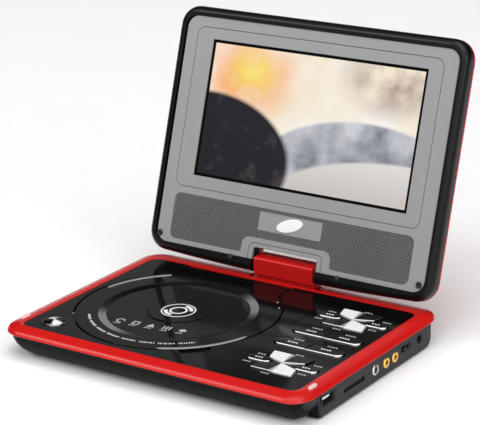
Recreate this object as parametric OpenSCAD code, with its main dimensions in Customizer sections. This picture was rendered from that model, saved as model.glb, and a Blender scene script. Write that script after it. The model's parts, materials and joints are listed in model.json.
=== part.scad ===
// Swivel-screen portable disc player: base with lift-up disc door, turning and tilting screen.
// Millimetres. X runs to the right, Y to the back, Z up. The feet stand on z = 0 and the
// origin is under the middle of the base.

/* [Base] */
// Width of the base over its rim
base_w = 250; // [240:1:260]
// Depth of the base over its rim
base_d = 183; // [180:1:190]
// Height of the top panel above the table
panel_z = 23; // [22:0.5:25]
// Plan radius of the base corners
base_r = 17; // [12:1:22]
// Height of the rubber feet
foot_h = 1.5; // [1:0.1:2]
// Wall thickness of the mouldings
wall = 1.8; // [1.6:0.1:2]
// Thickness of the glossy top panel
panel_t = 1.6; // [1.4:0.1:1.8]

/* [Disc door] */
// Centre of the disc bay, across
disc_x = -34.4; // [-36:0.1:-33]
// Centre of the disc bay, front to back
disc_y = -3.9; // [-5:0.1:-3]
// Radius of the door
door_r = 72; // [70:0.5:73]
// Half the width of the neck that reaches back to the door's pivot
neck_half = 44; // [40:0.5:46]
// Radius of the bay that the disc spins in
bay_r = 61.8; // [61.2:0.1:63]
// Radius of the hub that enters the disc's hole
hub_r = 7.42; // [7.35:0.01:7.45]

/* [Controls] */
// Middle of both key clusters, across
keys_x = 80.5; // [79:0.5:82]
// Middle of the rear four-way cluster, front to back
pad_rear_y = 40; // [38:0.5:42]
// Middle of the front four-way cluster, front to back
pad_front_y = -48; // [-50:0.5:-46]
// Middle of the rear bar key pair, front to back
bar_rear_y = 7.5; // [6:0.5:9]
// Middle of the front bar key pair, front to back
bar_front_y = -15.5; // [-17:0.5:-14]
// Play between a key and its hole
key_gap = 0.25; // [0.2:0.05:0.3]
// How far a key can be pressed
key_travel = 0.8; // [0.5:0.1:0.9]

/* [Screen] */
// Width of the screen housing
lid_w = 241; // [236:1:245]
// Height of the screen housing
lid_h = 185.3; // [180:0.1:186]
// Plan radius of the screen housing's corners
lid_r = 15; // [12:1:18]
// How far the lower edge of the housing bows out
lid_bow = 2.6; // [2:0.1:3]
// Tilt of the screen behind upright at rest
tilt = 18; // [0:1:20]
// Depth of the black front frame
bezel_t = 10; // [9:0.5:10.5]
// Depth of the rear shell
rear_t = 5; // [4.5:0.5:5.5]
// Width of the glass opening
glass_w = 180; // [170:1:182]
// Height of the glass opening
glass_h = 100.8; // [96:0.1:102]

/* [Hinge] */
// Tilt axle and swivel axis, front to back
hinge_y = 84; // [83.5:0.1:84.5]
// Height of the tilt axle above the table
hinge_z = 33.8; // [33.6:0.1:35]
// Width of the hinge block
block_w = 50; // [46:1:51]
// Radius of the swivel shaft
shaft_r = 3.5; // [3.3:0.1:3.6]
// Radius of the tilt axle
axle_r = 2.5; // [2:0.1:2.6]
// Running clearance of the two bearings
run_gap = 0.05; // [0.03:0.01:0.08]

/* [Hidden] */
$fn = 64;
// Overlap that joins touching solids
eps = 0.01;
// How far a cutter reaches past the face that it opens
past = 1;
// Facets of the large circles round the disc
disc_fn = 128;

// Colours
red = [0.80, 0.10, 0.09];
gloss_black = [0.05, 0.05, 0.06];
case_grey = [0.17, 0.18, 0.19];
face_grey = [0.52, 0.53, 0.54];
steel = [0.72, 0.73, 0.75];
gold = [0.85, 0.65, 0.25];
silver = [0.88, 0.88, 0.90];
board_green = [0.10, 0.35, 0.18];
dark_rubber = [0.12, 0.12, 0.12];

// Panel and rim, front to back and side to side
panel_side = 13;
panel_front = 9.3;
panel_back = 17.8;
panel_w = base_w - 2 * panel_side;
panel_d = base_d - panel_front - panel_back;
panel_y = (panel_front - panel_back) / 2;
panel_r = 7;
panel_fit = 0.1;
seam_x = 47.2;
seam_y0 = 15;
seam_l = 58;
seam_w = 0.5;
seam_d = 0.3;

// Heights below the panel's surface
rim_foot = -5.2;
deck_top = -panel_t;
deck_low = deck_top - wall;
case_low = foot_h - panel_z;
floor_z = case_low + wall;
pedestal_top = 1.8;
pedestal_w = 49;
pedestal_d = 12;
pocket_half = 31;
pocket_y = 76.8;
pocket_z = -1.5;
tray_floor = -9.5;
tray_t = 1.4;
tray_low = tray_floor - tray_t;
tray_flange = 9;
disc_seat = -6;

// Section of the rim: height, then how far it stands in from the base outline
rim_section = [[rim_foot, 0.8], [-4.6, 0.2], [-3.6, 0], [-2.4, 0.25], [-1.6, 1.2], [-0.7, 4],
    [0, 7], [0.3, 9]];
// Section of the bowl-shaped bottom case, in the same form
bowl_section = [[rim_foot, 2], [-9, 2.6], [-13, 4.4], [-17, 7.8], [-20, 11.6], [case_low, 14.5]];
// The hollow of the bowl, a wall inside the same section
hollow_section = [[rim_foot + past, 2 + wall], [-9, 2.6 + wall], [-13, 4.4 + wall],
    [-17, 7.8 + wall], [floor_z, 11.4 + wall]];
vent_n = 8;
vent_pitch = 6;
vent_size = [2, 24];

// Side block that holds the sockets
port_x = 123.2;
port_depth = 23.2;
port_y0 = -71.7;
port_y1 = 69;
port_r = 3;
port_z = 11 - panel_z;
usb_y = -60.3;
card_y = -28.4;
card_z = port_z - 1.9;
phone_y = -1.8;
av_y = [12.4, 23.9];
switch_y = 38.4;
dc_y = 57.1;
usb_size = [13.5, 6.2];
usb_lip = [15.6, 8.2];
card_size = [25.6, 3];
jack_bore = 1.75;
jack_body = 3.5;
jack_l = 13;
jack_lip = 0.6;
dc_bore = 2.1;
dc_pin = 0.6;
slider_travel = 4;
slider_size = [3.4, 3, 1.8];
slider_cap = [2.6, 5, 3];
switch_lip = [13.4, 5.4];
lip_depth = 0.6;

// Bay at the back of the bottom case that holds the hinge's foot
bay_half = 26;
bay_y0 = 61.1;
bay_y1 = 90.9;

// Door
door_edge = 1.4;
door_deep = 2.6;
door_gap = 0.4;
neck_end = 71.8 - disc_y;
neck_play = 2.2;
curl_r = 12;
curl_y = sqrt(pow(door_r + curl_r, 2) - pow(neck_half + curl_r, 2));
deck_hole_r = door_r - 4.5;
pivot_y = 69.8;
pivot_z = -3.4;
pivot_r = 1.2;
recess_r1 = 50.5;
recess_r2 = 56;
recess_d = 1;
label_r = 22;
label_t = 0.5;
lug_x = 40;
lug_w = 4;
pin_x = 44.2;
pin_l = 12;
pivot_boss = 49;
catch_at = 70.2;
catch_r = 1.6;
notch_at = door_r + 2;
notch_angle = -46;
notch_r = 11;
trim_in = 3;
trim_w = 2.4;
trim_t = 0.35;

// Round button that opens the door
button_x = -94.6;
button_y = -66.4;
button_r = 7.2;
ring_r = 9;
ring_t = 0.7;
dome_r = 19.6;
dome_top = 2.1;

// Keys
key_top = 1.2;
key_foot = -5;
flange_top = deck_low - 0.5;
pill_at = 18.2;
pill_size = [18.4, 7.8];
bar_size = [54, 10.5];
bar_split = 0.2;

// Mechanism, measured from the spindle axis
rod_y = 15;
rod_z = -14.2;
rod_r = 1.5;
screw_y = 20.5;
screw_r = 1.2;
lens_x = 24;
sled_half = 8.5;
support_x = [14, 61];
support_t = 2.4;
screw_x0 = 14;
screw_l = 50.4;
thread_pitch = 3;
chassis_z = -18.2;
chassis_t = 1;
motor_r = 12;
motor_top = -12.6;
spindle_r = 1.2;
damper_r = 2.6;
damper_xy = [[-24, -22], [-24, 22], [52, -26], [52, 26]];

// Circuit boards in the base
board_z = -17.4;
board_t = 1.6;
key_board_z = -9.2;

// Screws that join the two halves of the base
screw_xy = [[-66, -73], [-98, 72], [42, -74], [42, 76], [108, 77], [110, -74]];
boss_h = 6;
foot_xy = [[-84, -70], [100, -70], [-84, 74], [100, 74]];
foot_set = 0.6;
boss_r = 4;
pillar_r = 3.4;
screw_shank = 1.15;
screw_head_r = 2.8;
screw_sink = 2;
screw_l_up = 13;
foot_r = 5.5;

// Pads let into the rim that the closed screen rests on
pad_x = 118;
pad_y = -69;
pad_size = [9, 4];
pad_low = -0.6;
pad_high = 0.9;

// Hinge block, measured from the tilt axle
block_low = panel_z + pedestal_top + 0.3 - hinge_z;
block_high = 5.1;
block_front = -8.1;
block_back = 7.3;
block_edge = 2.2;
shaft_top = 7.4;
sleeve_r = 4.8;
clip_z = -16.2;
clip_t = 1.1;
axle_l = 76;

// Screen housing, measured from the tilt axle with the screen upright
lid_front = -8.4;
lid_low = -8.45;
lid_mid = lid_low + lid_h / 2;
lid_round = 5;
lid_draw = 2.6;
seam_y = lid_front + bezel_t;
lid_back = seam_y + rear_t;
face_w = 228.6;
face_low = 0.65;
face_high = 169.6;
face_r = 9;
face_front = lid_front + 0.7;
face_t = 1.9;
face_rebate = 2.4;
glass_z = 103.35;
notch_half = 27;
notch_top = 9.35;
notch_wall = 4;
speaker_x = 66;
speaker_z = 21;
speaker_r = 14;
lid_screw_x = 106;
lid_screw_z = [-3.2, 173];
bumper_x = 110;
bumper_z = 6.4;
bracket_x = 34.4;
bracket_w = 6;
bracket_t = 1.4;

// ---------- shared shapes ----------

function corner(cx, cy, r, from, steps) =
    [for (i = [0:steps]) [cx + r * cos(from + 90 * i / steps), cy + r * sin(from + 90 * i / steps)]];

// Rounded outline whose front or lower edge bows out by bow in its middle
function outline(w, d, r, bow = 0, steps = 8) = concat(
    corner(w / 2 - r, d / 2 - r, r, 0, steps),
    corner(r - w / 2, d / 2 - r, r, 90, steps),
    corner(r - w / 2, r + bow - d / 2, r, 180, steps),
    [for (i = [1:9]) let (t = i / 5 - 1) [t * (w / 2 - r), bow * t * t - d / 2]],
    corner(w / 2 - r, r + bow - d / 2, r, 270, steps));

module base_slice(inset) {
    linear_extrude(eps)
        polygon(outline(base_w - 2 * inset, base_d - 2 * inset, max(base_r - inset, 5)));
}

// Solid through a list of [height, inset] sections of the base outline
module base_loft(section) {
    hull()
        for (s = section) translate([0, 0, s[0]]) base_slice(s[1]);
}

module rounded(w, d, r) {
    square([w - 2 * r, d], center = true);
    square([w, d - 2 * r], center = true);
    for (x = [-1, 1], y = [-1, 1]) translate([x * (w / 2 - r), y * (d / 2 - r)]) circle(r);
}

module pill(length, width) {
    square([length - width, width], center = true);
    for (x = [-1, 1]) translate([x * (length - width) / 2, 0]) circle(width / 2);
}

module pillar(x, y, low, high, r) {
    translate([x, y, low]) cylinder(h = high - low, r = r);
}

module on_panel() {
    translate([0, 0, panel_z]) children();
}

module at_disc() {
    translate([disc_x, disc_y, panel_z]) children();
}

// From upright screen coordinates, centred on the tilt axle, to the rest pose
module on_lid() {
    translate([0, hinge_y, hinge_z]) rotate([-tilt, 0, 0]) children();
}

// ---------- base shells ----------

module port_block(inset, low, high) {
    translate([port_x - port_depth / 2 - inset / 2, (port_y0 + port_y1) / 2, low])
        linear_extrude(high - low)
            rounded(port_depth - inset, port_y1 - port_y0 - 2 * inset, max(port_r - inset, 1));
}

module hinge_bay(inset, low, high) {
    translate([0, (bay_y0 + bay_y1 - 2 * inset) / 2, low])
        linear_extrude(high - low)
            rounded(2 * (bay_half - inset), bay_y1 - bay_y0, max(port_r - inset, 1));
}

// Opening of a given width and height in the side wall, reaching a given depth into it
module side_cut(y, z, size, depth) {
    translate([port_x, y, z]) cube([2 * depth, size[0], size[1]], center = true);
}

module port_cuts() {
    side_cut(usb_y, port_z, usb_size, 4);
    side_cut(usb_y, port_z, usb_lip, lip_depth);
    side_cut(card_y, card_z, card_size, 4);
    for (y = concat([phone_y], av_y, [dc_y]))
        translate([port_x - 4, y, port_z]) rotate([0, 90, 0]) cylinder(h = 8, r = jack_body + 0.05);
    side_cut(switch_y, port_z, [slider_cap[1] + slider_travel + 0.4, slider_cap[2] + 0.4], 4);
    side_cut(switch_y, port_z, switch_lip, lip_depth);
}

module bottom_case() {
    color(case_grey) on_panel() {
        difference() {
            union() {
                base_loft(bowl_section);
                port_block(0, case_low, rim_foot);
                hinge_bay(0, case_low, rim_foot);
            }
            difference() {
                union() {
                    base_loft(hollow_section);
                    port_block(wall, floor_z, rim_foot + past);
                    hinge_bay(wall, floor_z, rim_foot + past);
                }
                for (p = screw_xy) pillar(p[0], p[1], case_low, case_low + boss_h, boss_r);
            }
            port_cuts();
            for (p = screw_xy) {
                pillar(p[0], p[1], case_low - past, case_low + screw_sink, screw_head_r + 0.4);
                pillar(p[0], p[1], case_low, case_low + boss_h + past, screw_shank + 0.45);
            }
            for (p = foot_xy) pillar(p[0], p[1], case_low - past, case_low + foot_set, foot_r + 0.1);
            for (i = [0:vent_n - 1])
                translate([(i - vent_n / 2) * vent_pitch, 30, case_low - past])
                    cube([vent_size[0], vent_size[1], wall + 2 * past]);
        }
    }
}

// Round door with a neck whose sides curl out into the circle
module door_outline(gap) {
    reach = neck_half + curl_r;
    k = door_r / (door_r + curl_r);
    circle(door_r + gap, $fn = disc_fn);
    translate([-neck_half - gap, 0])
        square([2 * (neck_half + gap), neck_end + (gap > 0 ? neck_play : 0)]);
    for (side = [-1, 1])
        difference() {
            polygon([[side * lug_x, curl_y / 2], [side * lug_x, curl_y], [side * reach, curl_y],
                [side * reach * k, curl_y * k]]);
            translate([side * reach, curl_y]) circle(curl_r - gap);
        }
}

module key_holes() {
    for (y = [pad_rear_y, pad_front_y]) translate([keys_x, y]) {
        for (side = [-1, 1]) {
            side_key(side, key_gap);
            wedge_key(side, key_gap);
        }
    }
    for (y = [bar_rear_y, bar_front_y])
        translate([keys_x, y]) pill(bar_size[0] + 2 * key_gap, bar_size[1] + 2 * key_gap);
}

module finger_notch(depth) {
    rotate(notch_angle) translate([notch_at, 0, -depth]) cylinder(h = depth + past, r = notch_r);
}

module hinge_pocket() {
    translate([-pocket_half, pocket_y, pocket_z]) cube([2 * pocket_half, 20, 6]);
}

// Everything that the lid's deck opens for, from the deck's underside up
module deck_cuts() {
    translate([disc_x, disc_y, deck_low - past]) {
        cylinder(h = 12, r = deck_hole_r, $fn = disc_fn);
        translate([-neck_half - door_gap, 0, 0])
            cube([2 * (neck_half + door_gap), neck_end + neck_play, 12]);
    }
    translate([disc_x, disc_y, 0]) finger_notch(panel_t + past);
    translate([0, 0, deck_low - past]) linear_extrude(12) key_holes();
    pillar(button_x, button_y, deck_low - past, 4, button_r + key_gap);
    pillar(disc_x, disc_y - catch_at, deck_low - past, 4, catch_r + 0.2);
}

module top_cover() {
    color(red) on_panel() {
        difference() {
            union() {
                difference() {
                    base_loft(rim_section);
                    translate([0, 0, deck_low - 5])
                        linear_extrude(5) rounded(base_w - 5.2, base_d - 5.2, base_r - 2.6);
                    translate([0, panel_y, deck_top])
                        linear_extrude(5)
                            rounded(panel_w + 2 * panel_fit, panel_d + 2 * panel_fit, panel_r);
                }
                for (p = screw_xy) pillar(p[0], p[1], case_low + boss_h, deck_low + eps, pillar_r);
                for (side = [-1, 1])
                    translate([disc_x + side * pivot_boss, pivot_y, deck_low - 1.2])
                        cube([5, 5, 3], center = true);
            }
            hinge_pocket();
            pillar(0, hinge_y, -10, 5, shaft_r + 0.4);
            deck_cuts();
            translate([disc_x, pivot_y, pivot_z]) rotate([0, 90, 0])
                cylinder(h = 110, r = pivot_r + run_gap, center = true);
            for (p = screw_xy) pillar(p[0], p[1], case_low, deck_low - 0.5, screw_shank + 0.05);
            rim_pad_shape(pad_low, 2);
        }
    }
}

module top_panel() {
    color(gloss_black) on_panel() {
        difference() {
            translate([0, panel_y, deck_top]) linear_extrude(panel_t) rounded(panel_w, panel_d, panel_r);
            translate([disc_x, disc_y, -3]) linear_extrude(6) door_outline(door_gap);
            translate([disc_x, disc_y, 0]) finger_notch(3);
            translate([0, 0, -3]) linear_extrude(6) key_holes();
            pillar(button_x, button_y, -3, 3, ring_r + 0.05);
            translate([seam_x, seam_y0, -seam_d]) cube([seam_w, seam_l, past]);
        }
    }
}

module hinge_pedestal() {
    color(red) on_panel()
        difference() {
            translate([-pedestal_w / 2, hinge_y - pedestal_d / 2, pocket_z])
                cube([pedestal_w, pedestal_d, pedestal_top - pocket_z]);
            pillar(0, hinge_y, -10, 5, shaft_r + 0.4);
        }
}

module disc_tray() {
    color(case_grey) at_disc() {
        difference() {
            union() {
                translate([0, 0, tray_low])
                    cylinder(h = deck_low - tray_low, r = bay_r + tray_t, $fn = disc_fn);
                translate([0, 0, deck_low - 1.2])
                    cylinder(h = 1.2, r = bay_r + tray_flange, $fn = disc_fn);
            }
            translate([0, 0, tray_floor]) cylinder(h = 12, r = bay_r, $fn = disc_fn);
            translate([0, 0, tray_low - past]) cylinder(h = 12, r = 16);
            translate([0, -9, tray_low - past]) cube([61, 18, 6]);
            translate([-neck_half - 1, pivot_y - disc_y - 5, -20])
                cube([2 * neck_half + 2, 20, 30]);
            translate([0, 0, tray_floor - 0.4]) cylinder(h = past, r = 30);
            translate([-5, -catch_at - 3.5, -8]) cube([10, 6.5, 6]);
        }
    }
}

// ---------- disc mechanism ----------

// Cylinder that runs to the right from x, at the height of the sled's rods
module along_x(x, y, length, r) {
    translate([x, y, rod_z]) rotate([0, 90, 0]) cylinder(h = length, r = r);
}

module mech_chassis() {
    color(steel) at_disc() {
        for (y = [-rod_y, rod_y])
            along_x(support_x[0] - support_t / 2, y, support_x[1] - support_x[0] + support_t, rod_r);
        difference() {
            union() {
                translate([-30, -29, chassis_z]) cube([94, 58, chassis_t]);
                for (x = support_x, y = [-rod_y, rod_y])
                    translate([x - support_t / 2, y - 3, chassis_z + chassis_t - eps])
                        cube([support_t, 6, 4.9]);
                translate([support_x[1] - 1, screw_y - 2.2, chassis_z + chassis_t - eps])
                    cube([2.2, 4.4, 5]);
            }
            along_x(0, screw_y, 90, screw_r + 0.08);
            translate([16, -10, chassis_z - past]) cube([40, 20, 3]);
            for (p = damper_xy) pillar(p[0], p[1], chassis_z - past, chassis_z + 3, 1.4);
        }
    }
}

module spindle_motor() {
    color(steel) at_disc() {
        difference() {
            union() {
                pillar(0, 0, chassis_z + chassis_t, motor_top, motor_r);
                pillar(0, 0, motor_top, motor_top + 0.8, 5);
            }
            pillar(0, 0, motor_top - 3.4, 0, spindle_r + run_gap);
        }
    }
}

module turntable() {
    color(gloss_black) at_disc() {
        pillar(0, 0, motor_top + 1.3, disc_seat - 1.4, 4);
        pillar(0, 0, disc_seat - 1.4, disc_seat, 14);
        pillar(0, 0, disc_seat, disc_seat + 2, hub_r);
        translate([0, 0, disc_seat + 2]) cylinder(h = 0.9, r1 = hub_r, r2 = hub_r - 1.6);
        pillar(0, 0, motor_top - 3.2, motor_top + 1.3, spindle_r);
    }
}

module laser_sled() {
    color([0.25, 0.25, 0.28]) at_disc() {
        difference() {
            union() {
                translate([lens_x - sled_half, -12.5, rod_z - 2.4]) cube([2 * sled_half, 25, 4.6]);
                for (y = [-rod_y, rod_y])
                    translate([lens_x - sled_half, y - 2.6, rod_z - 2.4]) cube([2 * sled_half, 5.2, 4.6]);
                translate([lens_x - 4, 12, rod_z - 2.4]) cube([8, 10.8, 4.6]);
                translate([lens_x - 6.5, -7, rod_z + 2.1]) cube([13, 14, 2.2]);
                pillar(lens_x, 0, -10, -8.4, 3.6);
            }
            for (y = [-rod_y, rod_y]) along_x(0, y, 60, rod_r + run_gap);
            along_x(0, screw_y, 60, screw_r + 0.12);
            translate([lens_x, 0, -8]) sphere(2.6);
        }
    }
}

module lead_screw() {
    color(steel) at_disc() {
        along_x(screw_x0, screw_y, screw_l, screw_r);
        for (i = [0:11]) along_x(screw_x0 + 0.6 + i * thread_pitch, screw_y, 0.6, screw_r + 0.06);
    }
}

module feed_motor() {
    color(steel) at_disc()
        difference() {
            along_x(screw_x0 + screw_l + 0.1, screw_y, 11, 3.9);
            along_x(screw_x0 + screw_l - past, screw_y, 3, screw_r + 0.15);
        }
}

module rubber_dampers() {
    color(dark_rubber) at_disc()
        for (p = damper_xy) {
            pillar(p[0], p[1], chassis_z + chassis_t, tray_low, damper_r);
            pillar(p[0], p[1], floor_z, chassis_z, damper_r);
            pillar(p[0], p[1], chassis_z - eps, chassis_z + chassis_t + eps, 1.35);
        }
}

// ---------- electronics in the base ----------

module main_board() {
    color(board_green) on_panel() {
        difference() {
            translate([46, -68, board_z]) cube([74, 134, board_t]);
            for (y = [-40, 40]) pillar(66, y, board_z - past, board_z + 3, 1.6);
        }
        translate([58, -12, board_z + board_t]) cube([24, 24, 1.8]);
        translate([62, 22, board_z + board_t]) cube([14, 10, 1.4]);
        for (i = [0:3]) pillar(54 + i * 9, -52, board_z + board_t, board_z + 6.6, 3);
    }
}

module key_board() {
    color(board_green) on_panel() {
        translate([50, -68, key_board_z]) cube([56.5, 126, 1.4]);
        for (y = [pad_rear_y, pad_front_y], p = [[-19, 0], [19, 0], [0, 9], [0, -9]])
            key_dome(keys_x + p[0], y + p[1]);
        for (y = [bar_rear_y, bar_front_y], x = [-13, 13]) key_dome(keys_x + x, y);
    }
}

module key_dome(x, y) {
    translate([x - 2.2, y - 2.2, key_board_z + 1.4]) cube([4.4, 4.4, 1.9]);
}

module battery_pack() {
    color([0.20, 0.30, 0.55]) on_panel()
        translate([-86, 0, floor_z]) linear_extrude(7) rounded(36, 104, 3);
}

module usb_socket() {
    color(steel) on_panel() translate([port_x - 0.8, usb_y, port_z]) {
        difference() {
            translate([-14, -6.7, -2.9]) cube([14, 13.4, 5.8]);
            translate([-13.4, -6.3, -2.5]) cube([15, 12.6, 5]);
        }
        translate([-13.6, -5.6, 0.2]) cube([12.6, 11.2, 1.8]);
    }
}

module card_socket() {
    color(steel) on_panel() translate([port_x - 2.2, card_y, card_z]) {
        difference() {
            translate([-26, -13.4, -1.8]) cube([26, 26.8, 3.6]);
            translate([-25, -12.2, -1.2]) cube([27, 24.4, 2.4]);
        }
    }
}

module socket_jack(y) {
    translate([port_x - jack_l, y, port_z])
        rotate([0, 90, 0])
            difference() {
                union() {
                    cylinder(h = jack_l, r = jack_body);
                    translate([0, 0, jack_l]) cylinder(h = jack_lip, r = jack_body - 0.1);
                }
                translate([0, 0, 1]) cylinder(h = jack_l + past, r = jack_bore);
            }
}

module headphone_jack() {
    color(silver) on_panel() socket_jack(phone_y);
}

module av_jacks() {
    color(gold) on_panel()
        for (y = av_y) socket_jack(y);
}

module dc_inlet() {
    color(gloss_black) on_panel() {
        translate([port_x - jack_l, dc_y, port_z]) rotate([0, 90, 0]) {
            difference() {
                cylinder(h = jack_l + 0.2, r = jack_body);
                translate([0, 0, 2]) cylinder(h = jack_l + past, r = dc_bore);
            }
            translate([0, 0, 1.9]) cylinder(h = 9, r = dc_pin);
        }
    }
}

module power_switch() {
    color(steel) on_panel()
        difference() {
            translate([port_x - 8.6, switch_y - 7, port_z - 3]) cube([6.2, 14, 6]);
            translate([port_x - 5, switch_y - 5.2, port_z - 1.1]) cube([4, 10.4, 2.2]);
        }
}

module power_slider() {
    color(gloss_black) on_panel() {
        low = switch_y - slider_travel / 2;
        translate([port_x - 4.4, low - slider_size[1] / 2, port_z - slider_size[2] / 2])
            cube(slider_size);
        translate([port_x - 1.6, low - slider_cap[1] / 2, port_z - slider_cap[2] / 2])
            cube(slider_cap);
    }
}

// ---------- small fixed parts of the base ----------

module rubber_feet() {
    color(dark_rubber)
        for (p = foot_xy) translate([p[0], p[1], 0]) {
            cylinder(h = foot_h + foot_set, r = foot_r - 0.6);
            translate([0, 0, 0.4]) cylinder(h = foot_h + foot_set - 0.4, r = foot_r);
        }
}

module case_screws() {
    color(steel) on_panel()
        for (p = screw_xy) {
            pillar(p[0], p[1], case_low + 0.3, case_low + screw_sink, screw_head_r);
            pillar(p[0], p[1], case_low + screw_sink, case_low + screw_l_up, screw_shank);
        }
}

module rim_pad_shape(low, high) {
    for (side = [-1, 1])
        translate([side * pad_x, pad_y, low])
            linear_extrude(high - low) rotate(90) pill(pad_size[0], pad_size[1]);
}

module rim_pads() {
    color([0.95, 0.75, 0.72]) on_panel() rim_pad_shape(pad_low, pad_high);
}

module swivel_bracket() {
    color(steel) on_panel()
        difference() {
            union() {
                translate([-20, hinge_y - 11, deck_low - 1.4]) cube([40, 15.6, 1.4]);
                pillar(0, hinge_y, clip_z + clip_t + 0.1, deck_low - 1, sleeve_r);
            }
            pillar(0, hinge_y, -20, 5, shaft_r + run_gap);
        }
}

module door_catch() {
    color(case_grey) on_panel() {
        pillar(disc_x, disc_y - catch_at, deck_low - 1, deck_top + 0.1, catch_r);
        translate([disc_x - 4, disc_y - catch_at - 2.5, deck_low - 1.2]) cube([8, 5, 1.2]);
    }
}

module button_ring() {
    color(steel) on_panel() translate([button_x, button_y, deck_top])
        difference() {
            union() {
                cylinder(h = panel_t, r = ring_r);
                translate([0, 0, panel_t]) cylinder(h = ring_t, r1 = ring_r, r2 = ring_r - ring_t);
            }
            translate([0, 0, -past]) cylinder(h = 5, r = button_r + key_gap);
        }
}

module open_button() {
    color(steel) on_panel() translate([button_x, button_y, 0]) {
        intersection() {
            pillar(0, 0, deck_low - 0.5, 3, button_r);
            translate([0, 0, dome_top - dome_r]) sphere(dome_r, $fn = disc_fn);
        }
        pillar(0, 0, deck_low - 1.5, deck_low - 0.5, button_r + 1);
    }
}

// ---------- keys ----------

module side_key(side, gap) {
    translate([side * pill_at, 0]) pill(pill_size[0] + 2 * gap, pill_size[1] + 2 * gap);
}

module wedge_key(side, gap) {
    polygon([[-16 - gap, side * (15 + gap)], [16 + gap, side * (15 + gap)],
        [13.5 + gap, side * (5.2 - gap)], [0, side * (0.6 - gap)], [-13.5 - gap, side * (5.2 - gap)]]);
}

module key_body() {
    translate([0, 0, key_foot]) linear_extrude(key_top - key_foot) children();
}

module key_tab(x, y, w, d) {
    translate([x - w / 2, y - d / 2, key_foot]) cube([w, d, flange_top - key_foot]);
}

module pad_side_key(y, side) {
    color(gloss_black) on_panel() translate([keys_x, y, 0]) {
        key_body() side_key(side, 0);
        key_tab(side * 27, 0, 3, 4);
    }
}

module pad_wedge_key(y, side) {
    color(gloss_black) on_panel() translate([keys_x, y, 0]) {
        key_body() wedge_key(side, 0);
        key_tab(0, side * 15.2, 20, 2);
    }
}

module bar_key(y, side) {
    color(gloss_black) on_panel() translate([keys_x, y, 0]) {
        key_body() intersection() {
            pill(bar_size[0], bar_size[1]);
            translate([side * (20 + bar_split), 0]) square([40, 20], center = true);
        }
        key_tab(side * 14, 5.4, 16, 1.6);
        key_tab(side * 14, -5.4, 16, 1.6);
    }
}

// ---------- disc door ----------

module disc_door() {
    color(gloss_black) at_disc() {
        difference() {
            union() {
                translate([0, 0, -door_edge]) linear_extrude(door_edge) door_outline(0);
                translate([0, 0, -door_deep]) cylinder(h = 2, r = deck_hole_r - 0.7, $fn = disc_fn);
                for (side = [-1, 1])
                    translate([side * lug_x, pivot_y - disc_y, pivot_z])
                        cube([lug_w, 4, 5.2], center = true);
            }
            translate([0, 0, -recess_d])
                cylinder(h = recess_d + eps, r1 = recess_r1, r2 = recess_r2, $fn = disc_fn);
            translate([0, neck_end, 0]) rotate([45, 0, 0]) cube([120, 2.4, 2.4], center = true);
            translate([0, pivot_y - disc_y, pivot_z]) rotate([0, 90, 0])
                cylinder(h = 110, r = pivot_r, center = true);
        }
        translate([0, 0, -recess_d - eps]) cylinder(h = label_t, r = label_r, $fn = disc_fn);
    }
}

module trim_arc(from, to) {
    rotate(from) rotate_extrude(angle = to - from, $fn = disc_fn)
        translate([door_r - trim_in, 0]) square([trim_w, trim_t]);
}

module door_trim() {
    color(steel) at_disc() {
        trim_arc(130, 172);
        trim_arc(-66, -14);
    }
}

module door_pins() {
    color(steel) on_panel()
        for (side = [-1, 1])
            translate([disc_x + side * pin_x, pivot_y, pivot_z]) rotate([0, 90, 0])
                cylinder(h = pin_l, r = pivot_r, center = true);
}

// ---------- hinge ----------

module swivel_shaft() {
    color(steel) translate([0, hinge_y, panel_z])
        difference() {
            pillar(0, 0, clip_z - 0.4, shaft_top, shaft_r);
            pillar(0, 0, -20, shaft_top - 1, shaft_r - 1.5);
        }
}

module shaft_clip() {
    color(steel) translate([0, hinge_y, panel_z])
        difference() {
            pillar(0, 0, clip_z, clip_z + clip_t, sleeve_r);
            pillar(0, 0, -20, 0, shaft_r + 0.01);
        }
}

module block_half(y0, y1) {
    color(red) translate([0, hinge_y, hinge_z])
        difference() {
            translate([0, (y0 + y1) / 2, block_low])
                linear_extrude(block_high - block_low) square([block_w, y1 - y0], center = true);
            rotate([0, 90, 0]) cylinder(h = 80, r = axle_r + 0.02, center = true);
            pillar(0, 0, block_low - past, panel_z + shaft_top + 0.1 - hinge_z, shaft_r + 0.02);
            for (z = [block_low, block_high], y = [block_front, block_back])
                translate([0, y, z]) rotate([45, 0, 0])
                    cube([80, block_edge, block_edge], center = true);
        }
}

module hinge_front_cover() {
    block_half(block_front, 0);
}

module hinge_rear_cover() {
    block_half(0, block_back);
}

module tilt_axle() {
    color(steel) translate([0, hinge_y, hinge_z]) rotate([0, 90, 0])
        cylinder(h = axle_l, r = axle_r, center = true);
}

// ---------- screen ----------

// Slice of the housing at depth y, standing in from its outline by inset
module lid_slice(y, inset) {
    translate([0, y + eps, lid_mid]) rotate([90, 0, 0]) linear_extrude(eps)
        polygon(outline(lid_w - 2 * inset, lid_h - 2 * inset, max(lid_r - inset, 4), lid_bow));
}

module bezel_form() {
    hull() {
        for (a = [0:18:72])
            lid_slice(lid_front + lid_round * (1 - cos(a)), lid_round * (1 - sin(a)));
        lid_slice(seam_y - eps, 0);
    }
}

module rear_form() {
    hull() {
        lid_slice(seam_y, 0);
        for (a = [18:18:90])
            lid_slice(lid_back - lid_round * (1 - sin(a)), lid_round * (1 - cos(a)));
    }
}

module notch_box(grow) {
    translate([-notch_half - grow, -20, lid_low - 20])
        cube([2 * (notch_half + grow), 40, notch_top + grow - lid_low + 20]);
}

module axle_hole() {
    rotate([0, 90, 0]) cylinder(h = 90, r = axle_r + 0.6, center = true);
}

module face_form(inset, y, t) {
    translate([0, y + t, (face_low + face_high) / 2]) rotate([90, 0, 0]) linear_extrude(t)
        rounded(face_w - 2 * inset, face_high - face_low - 2 * inset, face_r);
}

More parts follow.
